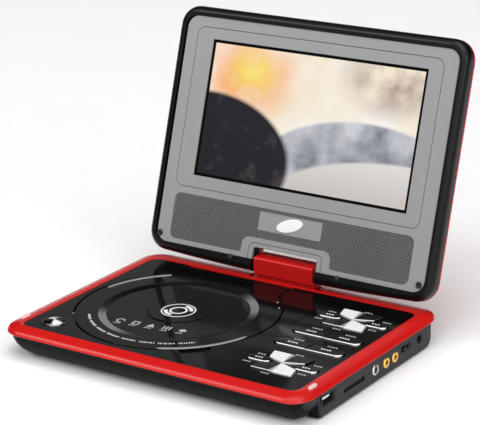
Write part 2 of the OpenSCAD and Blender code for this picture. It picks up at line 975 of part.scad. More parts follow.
module lid_screw_at(r, y0, y1) {
    for (x = [-lid_screw_x, lid_screw_x], z = lid_screw_z)
        translate([x, y0, z]) rotate([-90, 0, 0]) cylinder(h = y1 - y0, r = r);
}

module screen_bezel() {
    color(gloss_black) on_lid() {
        difference() {
            bezel_form();
            difference() {
                hull() {
                    lid_slice(lid_front + wall, wall + lid_draw);
                    lid_slice(seam_y + past, wall);
                }
                notch_box(notch_wall);
                lid_screw_at(2.6, lid_front, seam_y);
            }
            face_form(0, lid_front - past, face_rebate + past);
            notch_box(0);
            axle_hole();
            lid_screw_at(1, lid_front + 2.5, seam_y + past);
        }
    }
}

module face_panel() {
    color(face_grey) on_lid() {
        difference() {
            face_form(0.1, face_front, face_t);
            translate([0, 0, glass_z]) cube([glass_w, 40, glass_h], center = true);
            notch_box(notch_wall + 0.1);
            bumper_at(1.6, lid_front - 2, lid_front + 6);
        }
    }
}

module lcd_panel() {
    color([0.10, 0.12, 0.16]) on_lid()
        translate([-(glass_w + 8) / 2, face_front + face_t + 0.1, glass_z - (glass_h + 8) / 2])
            cube([glass_w + 8, 1.8, glass_h + 8]);
}

module backlight_frame() {
    color(steel) on_lid()
        translate([-(glass_w + 14) / 2, face_front + face_t + 2, glass_z - (glass_h + 12) / 2])
            cube([glass_w + 14, 3.2, glass_h + 12]);
}

module screen_board() {
    color(board_green) on_lid() {
        translate([-60, 0.9, 64]) cube([120, 1.3, 52]);
        translate([-20, 2.2, 76]) cube([18, 1.4, 18]);
        translate([20, 2.2, 80]) cube([12, 1.6, 9]);
    }
}

module speaker(side) {
    color(dark_rubber) on_lid()
        translate([side * speaker_x, face_front + face_t + 0.1, speaker_z]) rotate([-90, 0, 0])
            difference() {
                union() {
                    cylinder(h = 2.2, r = speaker_r);
                    translate([0, 0, 2.2]) cylinder(h = 4, r1 = speaker_r - 2, r2 = 8);
                    translate([0, 0, 6.2]) cylinder(h = 2.6, r = 8);
                }
                translate([0, 0, -eps]) cylinder(h = 3.2, r1 = speaker_r - 2, r2 = 4);
            }
}

module badge() {
    color(face_grey) on_lid() translate([0.5, face_front, 29.1]) rotate([90, 0, 0])
        intersection() {
            linear_extrude(0.5) scale([1, 0.5, 1]) circle(11);
            cube([40, 40, 4], center = true);
        }
}

module bumper_at(r, y0, y1) {
    for (x = [-bumper_x, bumper_x])
        translate([x, y0, bumper_z]) rotate([-90, 0, 0]) cylinder(h = y1 - y0, r = r);
}

module screen_bumpers() {
    color(dark_rubber) on_lid()
        difference() {
            union() {
                bumper_at(1.55, face_front - eps, face_front + face_t + 0.4);
                bumper_at(2.4, face_front - 1.5, face_front);
            }
            bumper_at(0.7, face_front - 2, face_front - 0.9);
        }
}

module screen_rear_shell() {
    color(red) on_lid()
        difference() {
            rear_form();
            difference() {
                hull() {
                    lid_slice(seam_y - past, wall);
                    lid_slice(lid_back - wall, wall + lid_draw);
                }
                notch_box(notch_wall);
                lid_screw_at(3.6, seam_y, lid_back);
            }
            notch_box(0);
            axle_hole();
            lid_screw_at(1.3, seam_y - past, lid_back + past);
            lid_screw_at(2.4, lid_back - 2, lid_back + past);
        }
}

module tilt_brackets() {
    color(steel) on_lid()
        for (side = [-1, 1])
            difference() {
                union() {
                    translate([side * bracket_x, 0, 0]) rotate([0, 90, 0])
                        cylinder(h = bracket_w, r = 4.6, center = true);
                    translate([side * bracket_x - bracket_w / 2, 0.4, 0])
                        cube([bracket_w, bracket_t, 26]);
                    translate([side * (bracket_x + 9) - 12, 0.4, 16]) cube([24, bracket_t, 10]);
                }
                translate([side * bracket_x, 0, 0]) rotate([0, 90, 0])
                    cylinder(h = 20, r = axle_r + run_gap, center = true);
            }
}

// ---------- assembly ----------

bottom_case();
top_cover();
top_panel();
disc_tray();
mech_chassis();
spindle_motor();
hinge_pedestal();
feed_motor();
rubber_dampers();
main_board();
key_board();
battery_pack();
usb_socket();
card_socket();
headphone_jack();
av_jacks();
dc_inlet();
power_switch();
rubber_feet();
case_screws();
rim_pads();
swivel_bracket();
door_catch();
button_ring();
open_button();
power_slider();
turntable();
laser_sled();
lead_screw();
disc_door();
door_trim();
door_pins();
pad_side_key(pad_rear_y, -1);  // rear_pad_left_key
pad_side_key(pad_rear_y, 1);  // rear_pad_right_key
pad_wedge_key(pad_rear_y, 1);  // rear_pad_back_key
pad_wedge_key(pad_rear_y, -1);  // rear_pad_front_key
pad_side_key(pad_front_y, -1);  // front_pad_left_key
pad_side_key(pad_front_y, 1);  // front_pad_right_key
pad_wedge_key(pad_front_y, 1);  // front_pad_back_key
pad_wedge_key(pad_front_y, -1);  // front_pad_front_key
bar_key(bar_rear_y, -1);  // rear_bar_left_key
bar_key(bar_rear_y, 1);  // rear_bar_right_key
bar_key(bar_front_y, -1);  // front_bar_left_key
bar_key(bar_front_y, 1);  // front_bar_right_key
swivel_shaft();
shaft_clip();
hinge_front_cover();
hinge_rear_cover();
tilt_axle();
screen_bezel();
face_panel();
lcd_panel();
backlight_frame();
screen_board();
speaker(-1);  // speaker_left
speaker(1);  // speaker_right
badge();
screen_bumpers();
screen_rear_shell();
tilt_brackets();
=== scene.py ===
"""Portable disc player with a swivel screen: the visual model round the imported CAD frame.

Sizes are millimetres and become metres in piece(). Base pieces are drawn from the middle of the
glossy panel's surface, disc pieces from the disc axis on that surface, and screen pieces from the
tilt axle with the screen upright (x across, y to the back, z up).
"""
import json
from math import atan2, cos, degrees, pi, radians, sin, sqrt, tan

import bmesh
import bpy
from mathutils import Matrix, Vector


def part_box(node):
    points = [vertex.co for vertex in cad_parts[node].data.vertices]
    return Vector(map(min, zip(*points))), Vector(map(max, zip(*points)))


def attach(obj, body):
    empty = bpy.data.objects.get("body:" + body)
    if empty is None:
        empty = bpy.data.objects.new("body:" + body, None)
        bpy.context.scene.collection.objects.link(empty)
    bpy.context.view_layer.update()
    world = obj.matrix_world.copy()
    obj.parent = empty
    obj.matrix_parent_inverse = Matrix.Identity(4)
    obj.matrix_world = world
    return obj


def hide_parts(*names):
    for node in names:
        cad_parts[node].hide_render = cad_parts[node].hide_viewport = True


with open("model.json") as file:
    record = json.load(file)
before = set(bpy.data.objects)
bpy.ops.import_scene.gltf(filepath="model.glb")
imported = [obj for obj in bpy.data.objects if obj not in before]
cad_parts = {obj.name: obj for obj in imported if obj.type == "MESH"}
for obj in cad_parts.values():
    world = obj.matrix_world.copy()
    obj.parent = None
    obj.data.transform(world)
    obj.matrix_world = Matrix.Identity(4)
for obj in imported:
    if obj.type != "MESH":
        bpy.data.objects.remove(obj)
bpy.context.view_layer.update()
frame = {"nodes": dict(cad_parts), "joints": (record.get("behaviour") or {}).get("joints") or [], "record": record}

MM = 0.001

# ---------- places taken from the frame ----------

joints = {j["name"]: j for j in frame["joints"]}
panel_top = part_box("top_panel")[1].z / MM
hinge = Vector(joints["tilt"]["pos_m"]) / MM
disc = Vector(joints["disc_spin"]["pos_m"]) / MM
tilt = 18

FLOOR = Matrix.Identity(4)
PANEL = Matrix.Translation((0, 0, panel_top))
DISC = Matrix.Translation((disc.x, disc.y, panel_top))
LID = Matrix.Translation(hinge) @ Matrix.Rotation(radians(-tilt), 4, "X")
HINGE = Matrix.Translation(hinge)
# Turns a slab that lies flat so that its outline stands up and its top looks to the front
UPRIGHT = Matrix.Rotation(radians(90), 4, "X")
# Turns a part that stands on its axis so that it looks to the right
RIGHTWARD = Matrix.Rotation(radians(90), 4, "Y")
# Turns a part that stands on its axis so that it looks to the back
BACKWARD = Matrix.Rotation(radians(-90), 4, "X")
# Turns a slab whose outline is given as front to back and height, so that it runs across
ACROSS = Matrix(((0, 0, 1, 0), (1, 0, 0, 0), (0, 1, 0, 0), (0, 0, 0, 1)))

# ---------- camera, floor and lights ----------

view_azimuth, view_elevation, view_roll = radians(34.593), radians(18.526), radians(-1.387)
view_distance = 1.4097
view_target = Vector((-0.0096, 0.0383, 0.0863))


def camera():
    back = Vector((sin(view_azimuth) * cos(view_elevation),
                   -cos(view_azimuth) * cos(view_elevation), sin(view_elevation)))
    level = Vector((cos(view_azimuth), sin(view_azimuth), 0))
    upright = back.cross(level)
    right = level * cos(view_roll) + upright * sin(view_roll)
    up = back.cross(right)
    data = bpy.data.cameras.new("camera")
    data.lens, data.sensor_width = 152.09, 36
    data.clip_start, data.clip_end = 0.05, 60
    obj = linked("camera", data)
    obj.matrix_world = Matrix((right, up, back)).transposed().to_4x4()
    obj.matrix_world.translation = view_target + back * view_distance
    bpy.context.scene.camera = obj


def soft_light(name, place, size, watts):
    """A square lamp, in metres and watts, that looks at the middle of the object."""
    data = bpy.data.lights.new(name, "AREA")
    data.shape, data.size, data.energy = "SQUARE", size, watts
    obj = linked(name, data)
    obj.location = place
    obj.rotation_euler = (Vector((0, 0, 0.05)) - Vector(place)).to_track_quat("-Z", "Y").to_euler()


def studio():
    """A studio that is bright high in front of the object and dark behind it and along the horizon."""
    scene = bpy.context.scene
    scene.view_settings.view_transform = "Standard"
    world = scene.world or bpy.data.worlds.new("studio")
    scene.world = world
    world.use_nodes = True
    nodes, links = world.node_tree.nodes, world.node_tree.links
    nodes.clear()
    out = nodes.new("ShaderNodeOutputWorld")
    shade = nodes.new("ShaderNodeBackground")
    ramp = nodes.new("ShaderNodeValToRGB")
    facing = nodes.new("ShaderNodeVectorMath")
    coords = nodes.new("ShaderNodeTexCoord")
    facing.operation = "DOT_PRODUCT"
    facing.inputs[1].default_value = Vector((sin(view_azimuth) * 0.62, -cos(view_azimuth) * 0.62, 0.78))
    links.new(coords.outputs["Generated"], facing.inputs[0])
    links.new(facing.outputs["Value"], ramp.inputs[0])
    links.new(ramp.outputs[0], shade.inputs["Color"])
    links.new(shade.outputs[0], out.inputs["Surface"])
    set_stops(ramp, ((0, 0.004), (0.35, 0.03), (0.60, 0.22), (0.78, 0.62), (1, 1)))
    shade.inputs["Strength"].default_value = 1.75


# ---------- outlines, in millimetres and anticlockwise ----------

def arc(cx, cy, r, start, end, steps=8):
    return [(cx + r * cos(radians(start + (end - start) * i / steps)),
             cy + r * sin(radians(start + (end - start) * i / steps))) for i in range(steps + 1)]


def circle(r, cx=0, cy=0, steps=64):
    return arc(cx, cy, r, 0, 360, steps)[:-1]


def corners(w, d, r, bow=0, steps=8):
    """A rounded rectangle whose front or lower edge bows out by bow in its middle."""
    points = arc(w / 2 - r, d / 2 - r, r, 0, 90, steps) + arc(r - w / 2, d / 2 - r, r, 90, 180, steps)
    points += arc(r - w / 2, r + bow - d / 2, r, 180, 270, steps)
    points += [((i / 5 - 1) * (w / 2 - r), bow * (i / 5 - 1) ** 2 - d / 2) for i in range(1, 10)]
    return points + arc(w / 2 - r, r + bow - d / 2, r, 270, 360, steps)


def filleted(points, radius, steps=4):
    """The same polygon with every corner rounded; radius is one number or one for each corner."""
    out = []
    for i, point in enumerate(points):
        r = radius[i] if isinstance(radius, (list, tuple)) else radius
        here = Vector(point)
        before = (Vector(points[i - 1]) - here).normalized()
        after = (Vector(points[(i + 1) % len(points)]) - here).normalized()
        half = before.angle(after) / 2
        if r <= 0 or half > radians(89):
            out.append(tuple(here))
            continue
        centre = here + (before + after).normalized() * (r / sin(half))
        first, last = here + before * (r / tan(half)), here + after * (r / tan(half))
        a, b = atan2(*(first - centre).yx), atan2(*(last - centre).yx)
        turn = (b - a + pi) % (2 * pi) - pi
        out += [(centre.x + r * cos(a + turn * k / steps), centre.y + r * sin(a + turn * k / steps))
                for k in range(steps + 1)]
    return out


def box_outline(w, d, r=0, cx=0, cy=0, steps=4):
    points = [(cx + w / 2, cy + d / 2), (cx - w / 2, cy + d / 2), (cx - w / 2, cy - d / 2),
              (cx + w / 2, cy - d / 2)]
    return filleted(points, r, steps) if r else points


def pill(length, width, cx=0, cy=0, steps=12):
    r = width / 2
    return (arc(cx + length / 2 - r, cy, r, -90, 90, steps)
            + arc(cx - length / 2 + r, cy, r, 90, 270, steps))


def turned(points, angle, cx=0, cy=0):
    c, s = cos(radians(angle)), sin(radians(angle))
    return [(cx + x * c - y * s, cy + x * s + y * c) for x, y in points]


def shifted(points, dx, dy):
    return [(x + dx, y + dy) for x, y in points]


def grown(points, by):
    """The outline moved outward by a distance, or inward when it is negative."""
    if not by:
        return list(points)
    out = []
    for i, point in enumerate(points):
        here = Vector(point)
        a = (here - Vector(points[i - 1])).normalized()
        b = (Vector(points[(i + 1) % len(points)]) - here).normalized()
        normal = Vector((a.y + b.y, -a.x - b.x))
        scale = max(1 + a.dot(b), 0.3)
        out.append((here.x + normal.x * by / scale, here.y + normal.y * by / scale))
    return out


# ---------- solids ----------

def linked(name, data):
    obj = bpy.data.objects.new(name, data)
    bpy.context.scene.collection.objects.link(obj)
    return obj


def offset(x, y, z):
    return Matrix.Translation((x, y, z))


def raised(outline, z):
    return [(x, y, z) for x, y in outline]


def ring_of(bm, points):
    return [bm.verts.new(p) for p in points]


def band(bm, a, b):
    """Joins two rings of equal length with quads."""
    for i in range(len(a)):
        j = (i + 1) % len(a)
        bm.faces.new((a[i], a[j], b[j], b[i]))


def skin(rings, closed=False):
    """Joins rings of equal length; closed also joins the last to the first."""
    bm = bmesh.new()
    loops = [ring_of(bm, r) for r in rings]
    for a, b in zip(loops, loops[1:] + (loops[:1] if closed else [])):
        band(bm, a, b)
    if not closed:
        bm.faces.new(list(reversed(loops[0])))
        bm.faces.new(loops[-1])
    return bm


def lathe(profile, steps=64, closed=False, cx=0, cy=0):
    """Turns a list of (radius, height) round an upright axis; a zero radius closes to a point."""
    bm = bmesh.new()
    loops = [ring_of(bm, raised(circle(r, cx, cy, steps) if r else [(cx, cy)], z)) for r, z in profile]
    for a, b in zip(loops, loops[1:] + (loops[:1] if closed else [])):
        for i in range(steps):
            j = (i + 1) % steps
            corner = [a[i % len(a)], a[j % len(a)], b[j % len(b)], b[i % len(b)]]
            corner = [v for k, v in enumerate(corner) if v not in corner[:k]]
            if len(corner) > 2:
                bm.faces.new(corner)
    return bm


def solid(outer, holes=(), low=0, high=1, edge=0.3, steps=2, crown=0):
    """A plate with holes whose upper edges are rounded by edge; crown lifts the flat's middle."""
    bm = bmesh.new()
    tops, bottoms = [], []
    turns = [radians(90 * s / steps) for s in range(steps + 1)] if edge else [pi / 2]
    for k, outline in enumerate([outer, *holes]):
        grow = edge if k else -edge
        rings = [(0, low)] + [(grow * (1 - cos(a)), high - edge * (1 - sin(a))) for a in turns]
        made = [ring_of(bm, raised(grown(outline, by), z)) for by, z in rings]
        for a, b in zip(made, made[1:]):
            band(bm, a, b)
        bottoms.append(made[0])
        tops.append(made[-1])
    for group in (tops, bottoms):
        if len(group) == 1:
            bm.faces.new(group[0])
        else:
            pairs = [pair for ring in group for pair in zip(ring, ring[1:] + ring[:1])]
            edges = [bm.edges.get(pair) for pair in pairs]
            bmesh.ops.triangle_fill(bm, use_beauty=True, use_dissolve=False, edges=edges)
    if crown:
        top = tops[0]
        middle = sum((v.co for v in top), Vector()) / len(top)
        flat = [f for f in bm.faces if set(f.verts) == set(top)]
        bmesh.ops.delete(bm, geom=flat, context="FACES_ONLY")
        inner = ring_of(bm, [middle + (v.co - middle) * 0.55 + Vector((0, 0, crown * 0.7)) for v in top])
        band(bm, top, inner)
        peak = bm.verts.new(middle + Vector((0, 0, crown)))
        for i in range(len(top)):
            bm.faces.new((inner[i], inner[(i + 1) % len(top)], peak))
    return bm


def moved(bm, matrix):
    bm.transform(matrix)
    return bm


def rod(r, low, high, place):
    return moved(lathe([(0, low), (r, low), (r, high), (0, high)], 32), place)


def mesh_of(name, bm):
    """The solid as a mesh whose faces look outward."""
    bmesh.ops.recalc_face_normals(bm, faces=bm.faces)
    mesh = bpy.data.meshes.new(name)
    bm.to_mesh(mesh)
    bm.free()
    return mesh


def merged(*parts):
    """One solid that holds several."""
    out = bmesh.new()
    for part in parts:
        mesh = mesh_of("part", part)
        out.from_mesh(mesh)
        bpy.data.meshes.remove(mesh)
    return out


def baked(obj):
    """The mesh that an object's modifiers make of it."""
    view = bpy.context.evaluated_depsgraph_get()
    view.update()
    return bpy.data.meshes.new_from_object(obj.evaluated_get(view), depsgraph=view)


def carved(bm, cutters, operation="DIFFERENCE", edge=0, angle=40, steps=2):
    """The solid with each cutter taken away or joined on, and then its sharp edges rounded."""
    target, *tools = [linked("temporary", mesh_of("temporary", part)) for part in (bm, *cutters)]
    for tool in tools:
        change = target.modifiers.new("change", "BOOLEAN")
        change.operation, change.solver, change.object = operation, "EXACT", tool
    if edge:
        round_off = target.modifiers.new("round", "BEVEL")
        round_off.width, round_off.segments, round_off.limit_method = edge, steps, "ANGLE"
        round_off.angle_limit, round_off.use_clamp_overlap = radians(angle), True
    mesh = baked(target)
    out = bmesh.new()
    out.from_mesh(mesh)
    for used in [mesh] + [obj.data for obj in (target, *tools)]:
        bpy.data.meshes.remove(used)
    bmesh.ops.remove_doubles(out, verts=out.verts, dist=1e-4)
    bmesh.ops.dissolve_degenerate(out, edges=out.edges, dist=1e-4)
    return out


def cross_head(profile, steps, slot, low, high):
    """A screw with a cross of slots cut into its head between two heights."""
    cuts = [solid(turned(box_outline(*slot), a), low=low, high=high, edge=0) for a in (0, 90)]
    return carved(lathe(profile, steps), cuts)


base_objects = []


def piece(name, bm, body, look, place=PANEL, replaces=None, angle=35):
    """Turns millimetres into a placed object that moves with a body of the frame."""
    bmesh.ops.remove_doubles(bm, verts=bm.verts, dist=1e-5)
    mesh = mesh_of(name, bm)
    mesh.transform(Matrix.Scale(MM, 4) @ place)
    mesh.shade_smooth()
    mesh.set_sharp_from_angle(angle=radians(angle))
    mesh.materials.append(looks[look])
    obj = linked(name, mesh)
    # Broad flats keep their own shading and only the rounded edges between them bend the light
    weighted = obj.modifiers.new("weighted", "WEIGHTED_NORMAL")
    weighted.keep_sharp, weighted.weight = True, 100
    obj.data = baked(obj)
    obj.modifiers.clear()
    bpy.data.meshes.remove(mesh)
    obj.data.name = name
    if body in ("base", "power_slider"):
        base_objects.append(obj)
    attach(obj, body)
    if replaces:
        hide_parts(replaces)
    return obj


def softened(node, look, body, width=0.25, angle=30, extra=()):
    """A piece in a CAD node's shape with its edges rounded, which stands for that node."""
    bm = bmesh.new()
    bm.from_mesh(frame["nodes"][node].data)
    bm.transform(Matrix.Scale(1 / MM, 4))
    bmesh.ops.remove_doubles(bm, verts=bm.verts, dist=1e-3)
    bmesh.ops.dissolve_limit(bm, angle_limit=radians(1), verts=bm.verts, edges=bm.edges)
    bm = carved(bm, extra, "UNION", edge=width, angle=angle)
    return piece(node + "_moulding", bm, body, look, FLOOR, node)


# ---------- finishes ----------

looks = {}


class Finish:
    """A material, which looks keeps under its name, and short ways to add nodes to it."""

    def __init__(self, name):
        material = looks[name] = bpy.data.materials.new(name)
        material.use_nodes = True
        self.tree = material.node_tree
        self.shader = next(n for n in self.tree.nodes if n.type == "BSDF_PRINCIPLED")
        self.place = self.tree.nodes.new("ShaderNodeTexCoord").outputs["Object"]

    def node(self, kind, inputs, output=0, **settings):
        node = self.tree.nodes.new(kind)
        for key, value in settings.items():
            setattr(node, key, value)
        for key, value in inputs.items():
            self.give(node.inputs[key], value)
        return node.outputs[output]

    def give(self, socket, value):
        if isinstance(value, bpy.types.NodeSocket):
            self.tree.links.new(value, socket)
        else:
            socket.default_value = value

    def shade(self, **inputs):
        for key, value in inputs.items():
            self.give(self.shader.inputs[key.replace("_", " ")], value)

    def noise(self, scale, detail=2, where=None):
        return self.node("ShaderNodeTexNoise", {"Vector": where or self.place, "Scale": scale,
                                                "Detail": detail}, "Fac")

    def span(self, value, low, high, start=0.3, end=0.7):
        return self.node("ShaderNodeMapRange", {0: value, 1: start, 2: end, 3: low, 4: high})

    def mix(self, factor, a, b):
        return self.node("ShaderNodeMix", {0: factor, 6: rgba(a), 7: rgba(b)}, 2, data_type="RGBA")

    def maths(self, operation, a, b=0):
        return self.node("ShaderNodeMath", {0: a, 1: b}, operation=operation)

    def times(self, a, b):
        return self.maths("MULTIPLY", a, b)

    def length(self, a, b):
        squares = [self.maths("POWER", side, 2) for side in (a, b)]
        return self.maths("SQRT", self.maths("ADD", *squares))

    def vector(self, operation, a, b, output=0):
        return self.node("ShaderNodeVectorMath", {0: a, 1: b}, output, operation=operation)

    def split(self, vector):
        node = self.tree.nodes.new("ShaderNodeSeparateXYZ")
        self.give(node.inputs[0], vector)
        return node.outputs

    def normal(self):
        return self.node("ShaderNodeNewGeometry", {}, "Normal")

    def ramp(self, value, stops):
        node = self.tree.nodes.new("ShaderNodeValToRGB")
        self.give(node.inputs[0], value)
        set_stops(node, stops)
        return node.outputs[0]

    def bumps(self, height, strength, depth=0.00005):
        self.shade(Normal=self.node("ShaderNodeBump", {"Height": height, "Strength": strength,
                                                       "Distance": depth}))


def rgba(colour):
    if isinstance(colour, (int, float)):
        colour = (colour, colour, colour)
    return colour if isinstance(colour, bpy.types.NodeSocket) else tuple(colour) + (1,)


def set_stops(ramp, stops):
    elements = ramp.color_ramp.elements
    while len(elements) < len(stops):
        elements.new(0.5)
    for element, (at, value) in zip(elements, stops):
        element.position, element.color = at, rgba(value)


def surface(name, colour, rough, metal=0, grain=2400, tone=0.08, wear=0.12, bump=0.15,
            stretch=(1, 1, 1), coat=0, level=0.5, right=None):
    """A moulded, printed or metal surface with fine grain and slow changes of tone and polish.

    right is a painted light: a lighter colour for the faces that look to the right, where the light falls on them
    flat.
    """
    finish = Finish(name)
    fine = finish.noise(grain, 3, finish.vector("MULTIPLY", finish.place, stretch))
    slow = finish.noise(14, 2)
    dim = tuple(c * (1 - tone) for c in colour)
    lit = tuple(min(c * (1 + tone), 1) for c in colour)
    base = finish.mix(finish.span(fine, 0, 1), dim, lit)
    # Painted light: faces that look to the right take the lighter colour given as right
    if right:
        base = finish.mix(finish.span(finish.split(finish.normal())[0], 0, 1, 0.85, 0.97), base, right)
    finish.shade(Base_Color=base, Roughness=finish.span(slow, rough * (1 - wear), rough * (1 + wear)),
                 Metallic=metal, Coat_Weight=coat, Coat_Roughness=0.06, Specular_IOR_Level=level)
    finish.bumps(fine, bump)


def painted_edge_highlight_mask(finish):
    """A mask for a painted highlight: one where the surface leans to the front and right, as a key's rounded front
    edge does.
    """
    leaning = finish.vector("DOT_PRODUCT", finish.normal(), (0.42, -0.76, 0.50), "Value")
    return finish.span(leaning, 0, 1, 0.74, 0.86)


def spun_metal_painted_shine(name, x, y, stops, dull=0.02, bright=0.9):
    """Metal turned about one point, with painted highlights: the base colour is bright along rays from that point,
    given as turns, and on the front edge.
    """
    finish = Finish(name)
    local = finish.vector("SUBTRACT", finish.place, (x * MM, y * MM, 0))
    angle = finish.node("ShaderNodeTexGradient", {"Vector": local}, 1, gradient_type="RADIAL")
    across, along, _ = finish.split(local)
    grooves = {"W": finish.times(finish.length(across, along), 9000), "Scale": 1, "Detail": 2}
    turning = finish.node("ShaderNodeTexNoise", grooves, "Fac", noise_dimensions="1D")
    # Painted highlight: where lit is high the base colour turns pale and less metallic
    lit = finish.maths("MAXIMUM", finish.ramp(angle, stops), finish.times(painted_edge_highlight_mask(finish), 0.8))
    finish.shade(Base_Color=finish.mix(lit, dull, bright), Metallic=finish.span(lit, 0.9, 0.15, 0, 1),
                 Roughness=finish.span(turning, 0.20, 0.34))
    finish.bumps(turning, 0.12)


def edge_painted_highlight(name):
    """A black chromed key whose front edge carries a painted highlight: its base colour turns near white there."""
    finish = Finish(name)
    edge = painted_edge_highlight_mask(finish)
    finish.shade(Base_Color=finish.mix(edge, (0.012, 0.012, 0.013), (0.88, 0.88, 0.89)),
                 Metallic=finish.span(edge, 0.85, 0.1, 0, 1),
                 Roughness=finish.span(finish.noise(60), 0.14, 0.2))


def picture(name):
    """The lit display: an abstract scene of a warm glow over smooth silver hills."""
    finish = Finish(name)
    place = Matrix.Scale(MM, 4) @ LID @ offset(screen_x, 0, screen_z)
    local = finish.node("ShaderNodeMapping", {0: finish.place, 1: place.translation,
                                              2: place.to_euler()}, vector_type="TEXTURE")
    across, _, height = finish.split(local)
    x, y = finish.times(across, 2 / (screen_w * MM)), finish.times(height, 2 / (screen_h * MM))

    def blob(cx, cy, rx, ry, soft):
        dx = finish.times(finish.maths("SUBTRACT", x, cx), 1 / rx)
        dy = finish.times(finish.maths("SUBTRACT", y, cy), 1 / ry)
        return finish.span(finish.length(dx, dy), 1, 0, 1 - soft, 1)

    cloud, wisps = finish.noise(26, 5, local), finish.noise(75, 4, local)
    scene = finish.mix(finish.span(cloud, 0, 1), (0.95, 0.80, 0.58), (1, 0.97, 0.90))
    hill = finish.mix(finish.span(finish.noise(40, 3, local), 0, 1), (0.16, 0.17, 0.20), (0.66, 0.67, 0.72))
    near = finish.mix(finish.span(y, 0, 1, -0.9, 0.2), (0.62, 0.58, 0.55), (0.95, 0.94, 0.93))
    dark = finish.mix(finish.span(wisps, 0, 1, 0.55, 0.75), (0.008, 0.008, 0.01), (0.06, 0.05, 0.05))
    # A glow, its core and smoke in the sky, and then two hills and a dark mass in front of it
    for spot, veil, colour in (
            ((-0.62, 0.55, 0.55, 0.75, 0.85), finish.span(wisps, 0.5, 1.2), (1, 0.36, 0.03)),
            ((-0.58, 0.62, 0.3, 0.42, 0.9), finish.span(wisps, 0.6, 1.3), (1, 0.80, 0.20)),
            ((0.75, 0.75, 0.6, 0.6, 0.9), finish.span(cloud, 0, 1, 0.4, 0.6), (0.24, 0.10, 0.05))):
        scene = finish.mix(finish.times(blob(*spot), veil), scene, colour)
    for spot, colour in (((0.55, -0.9, 1.05, 1.05, 0.04), hill), ((0.95, -1.35, 1.35, 1, 0.04), near),
                         ((-0.95, -0.72, 0.85, 1, 0.06), dark)):
        scene = finish.mix(blob(*spot), scene, colour)
    finish.shade(Base_Color=rgba((0.01, 0.01, 0.012)), Emission_Color=scene, Emission_Strength=0.92,
                 Roughness=finish.span(finish.noise(20), 0.10, 0.14))


def circuit(name):
    finish = Finish(name)
    tracks = finish.node("ShaderNodeTexBrick", {"Vector": finish.place, "Scale": 260,
                                                "Color1": (0.02, 0.16, 0.07, 1),
                                                "Color2": (0.015, 0.12, 0.05, 1),
                                                "Mortar": (0.06, 0.30, 0.14, 1), "Mortar Size": 0.03})
    finish.shade(Base_Color=tracks, Roughness=finish.span(finish.noise(60), 0.3, 0.5))


screen_x, screen_z = 1.6, 103.35
screen_w, screen_h = 180, 100.8
pads_x, pad_rows, bar_rows = 80.5, (40, -48), (7.5, -15.5)
button_x, button_y = -94.6, -66.4

# Painted highlights on turned metal, as (turn round the middle, brightness)
key_painted_shine = ((0, 0.12), (0.22, 0), (0.28, 1), (0.47, 1), (0.53, 0), (0.72, 0), (0.79, 1), (0.96, 1),
             (1, 0.12))
button_painted_shine = ((0, 0.25), (0.05, 0), (0.28, 0), (0.34, 1), (0.48, 1), (0.54, 0), (0.70, 0), (0.76, 0.5),
                (0.83, 1), (0.96, 1), (1, 0.25))
bevel_painted_shine = ((0.06, 0), (0.11, 1), (0.20, 1), (0.25, 0.05), (0.53, 0), (0.58, 1), (0.64, 1), (0.69, 0))

# The case's faces that look to the right carry a painted light, lighter than the rest
surface("case_black", (0.007, 0.0074, 0.008), 0.42, bump=0.3, level=0.05, right=(0.045, 0.046, 0.050))
surface("red_shell", (0.54, 0.010, 0.009), 0.24, tone=0.04, bump=0.04, level=0.33)
surface("gloss_black", (0.0028, 0.003, 0.0032), 0.09, bump=0.01, level=0.13)
surface("satin_black", (0.003, 0.0034, 0.0035), 0.30, bump=0.12, level=0.26)
surface("face_grey", (0.27, 0.272, 0.275), 0.48, tone=0.05, bump=0.2)
surface("badge_white", (0.86, 0.86, 0.85), 0.3, tone=0.02, bump=0.03)
surface("chrome_trim", (0.72, 0.73, 0.74), 0.24, 1, tone=0.04, bump=0.05)
surface("steel", (0.52, 0.53, 0.55), 0.34, 1, grain=1500, bump=0.1, stretch=(0.1, 1, 1))
surface("silver_jack", (0.86, 0.86, 0.87), 0.2, 0.9, tone=0.03, bump=0.03)
surface("gold_jack", (0.95, 0.60, 0.13), 0.24, 0.85, tone=0.04, bump=0.04)
surface("battery_wrap", (0.05, 0.12, 0.33), 0.35, tone=0.1, bump=0.1)
surface("rubber", (0.014, 0.014, 0.015), 0.7, tone=0.15, bump=0.5)
surface("rim_pad", (0.86, 0.52, 0.50), 0.4, tone=0.03, bump=0.1)
surface("speaker_cone", (0.012, 0.012, 0.012), 0.8, tone=0.3, bump=0.6)
surface("key_chrome", (0.30, 0.30, 0.31), 0.13, 1, tone=0.03, bump=0.02)
surface("trim_grey", (0.42, 0.43, 0.44), 0.36, 0.6, tone=0.04, bump=0.05)
surface("mesh_grey", (0.185, 0.187, 0.19), 0.5, tone=0.05, bump=0.1)
surface("mesh_dim", (0.02, 0.02, 0.021), 0.7, tone=0.1)
surface("print", (0.78, 0.78, 0.78), 0.5, tone=0.03, bump=0.02)
surface("dull_print", (0.42, 0.42, 0.42), 0.5, tone=0.05, bump=0.02)
surface("hole_black", (0.006, 0.006, 0.006), 0.8, tone=0.2, bump=0.3)
surface("lens", (0.12, 0.16, 0.35), 0.05, 0.2, tone=0.1, bump=0.01, coat=1)
surface("backdrop", (0.94, 0.94, 0.94), 0.9, grain=60, tone=0.01, bump=0.01)
# The spun keys, the open button and the door's bevel carry painted highlights in their base colour
spun_metal_painted_shine("rear_spun", pads_x, pad_rows[0], key_painted_shine)
spun_metal_painted_shine("front_spun", pads_x, pad_rows[1], key_painted_shine)
spun_metal_painted_shine("button_spun", button_x, button_y, button_painted_shine)
spun_metal_painted_shine("bevel_spun", disc.x, disc.y, bevel_painted_shine, 0.010, 0.20)
# The side and bar keys carry a painted highlight on their front edges
edge_painted_highlight("key_edge_painted_highlight")
circuit("circuit_board")
picture("screen_glass")

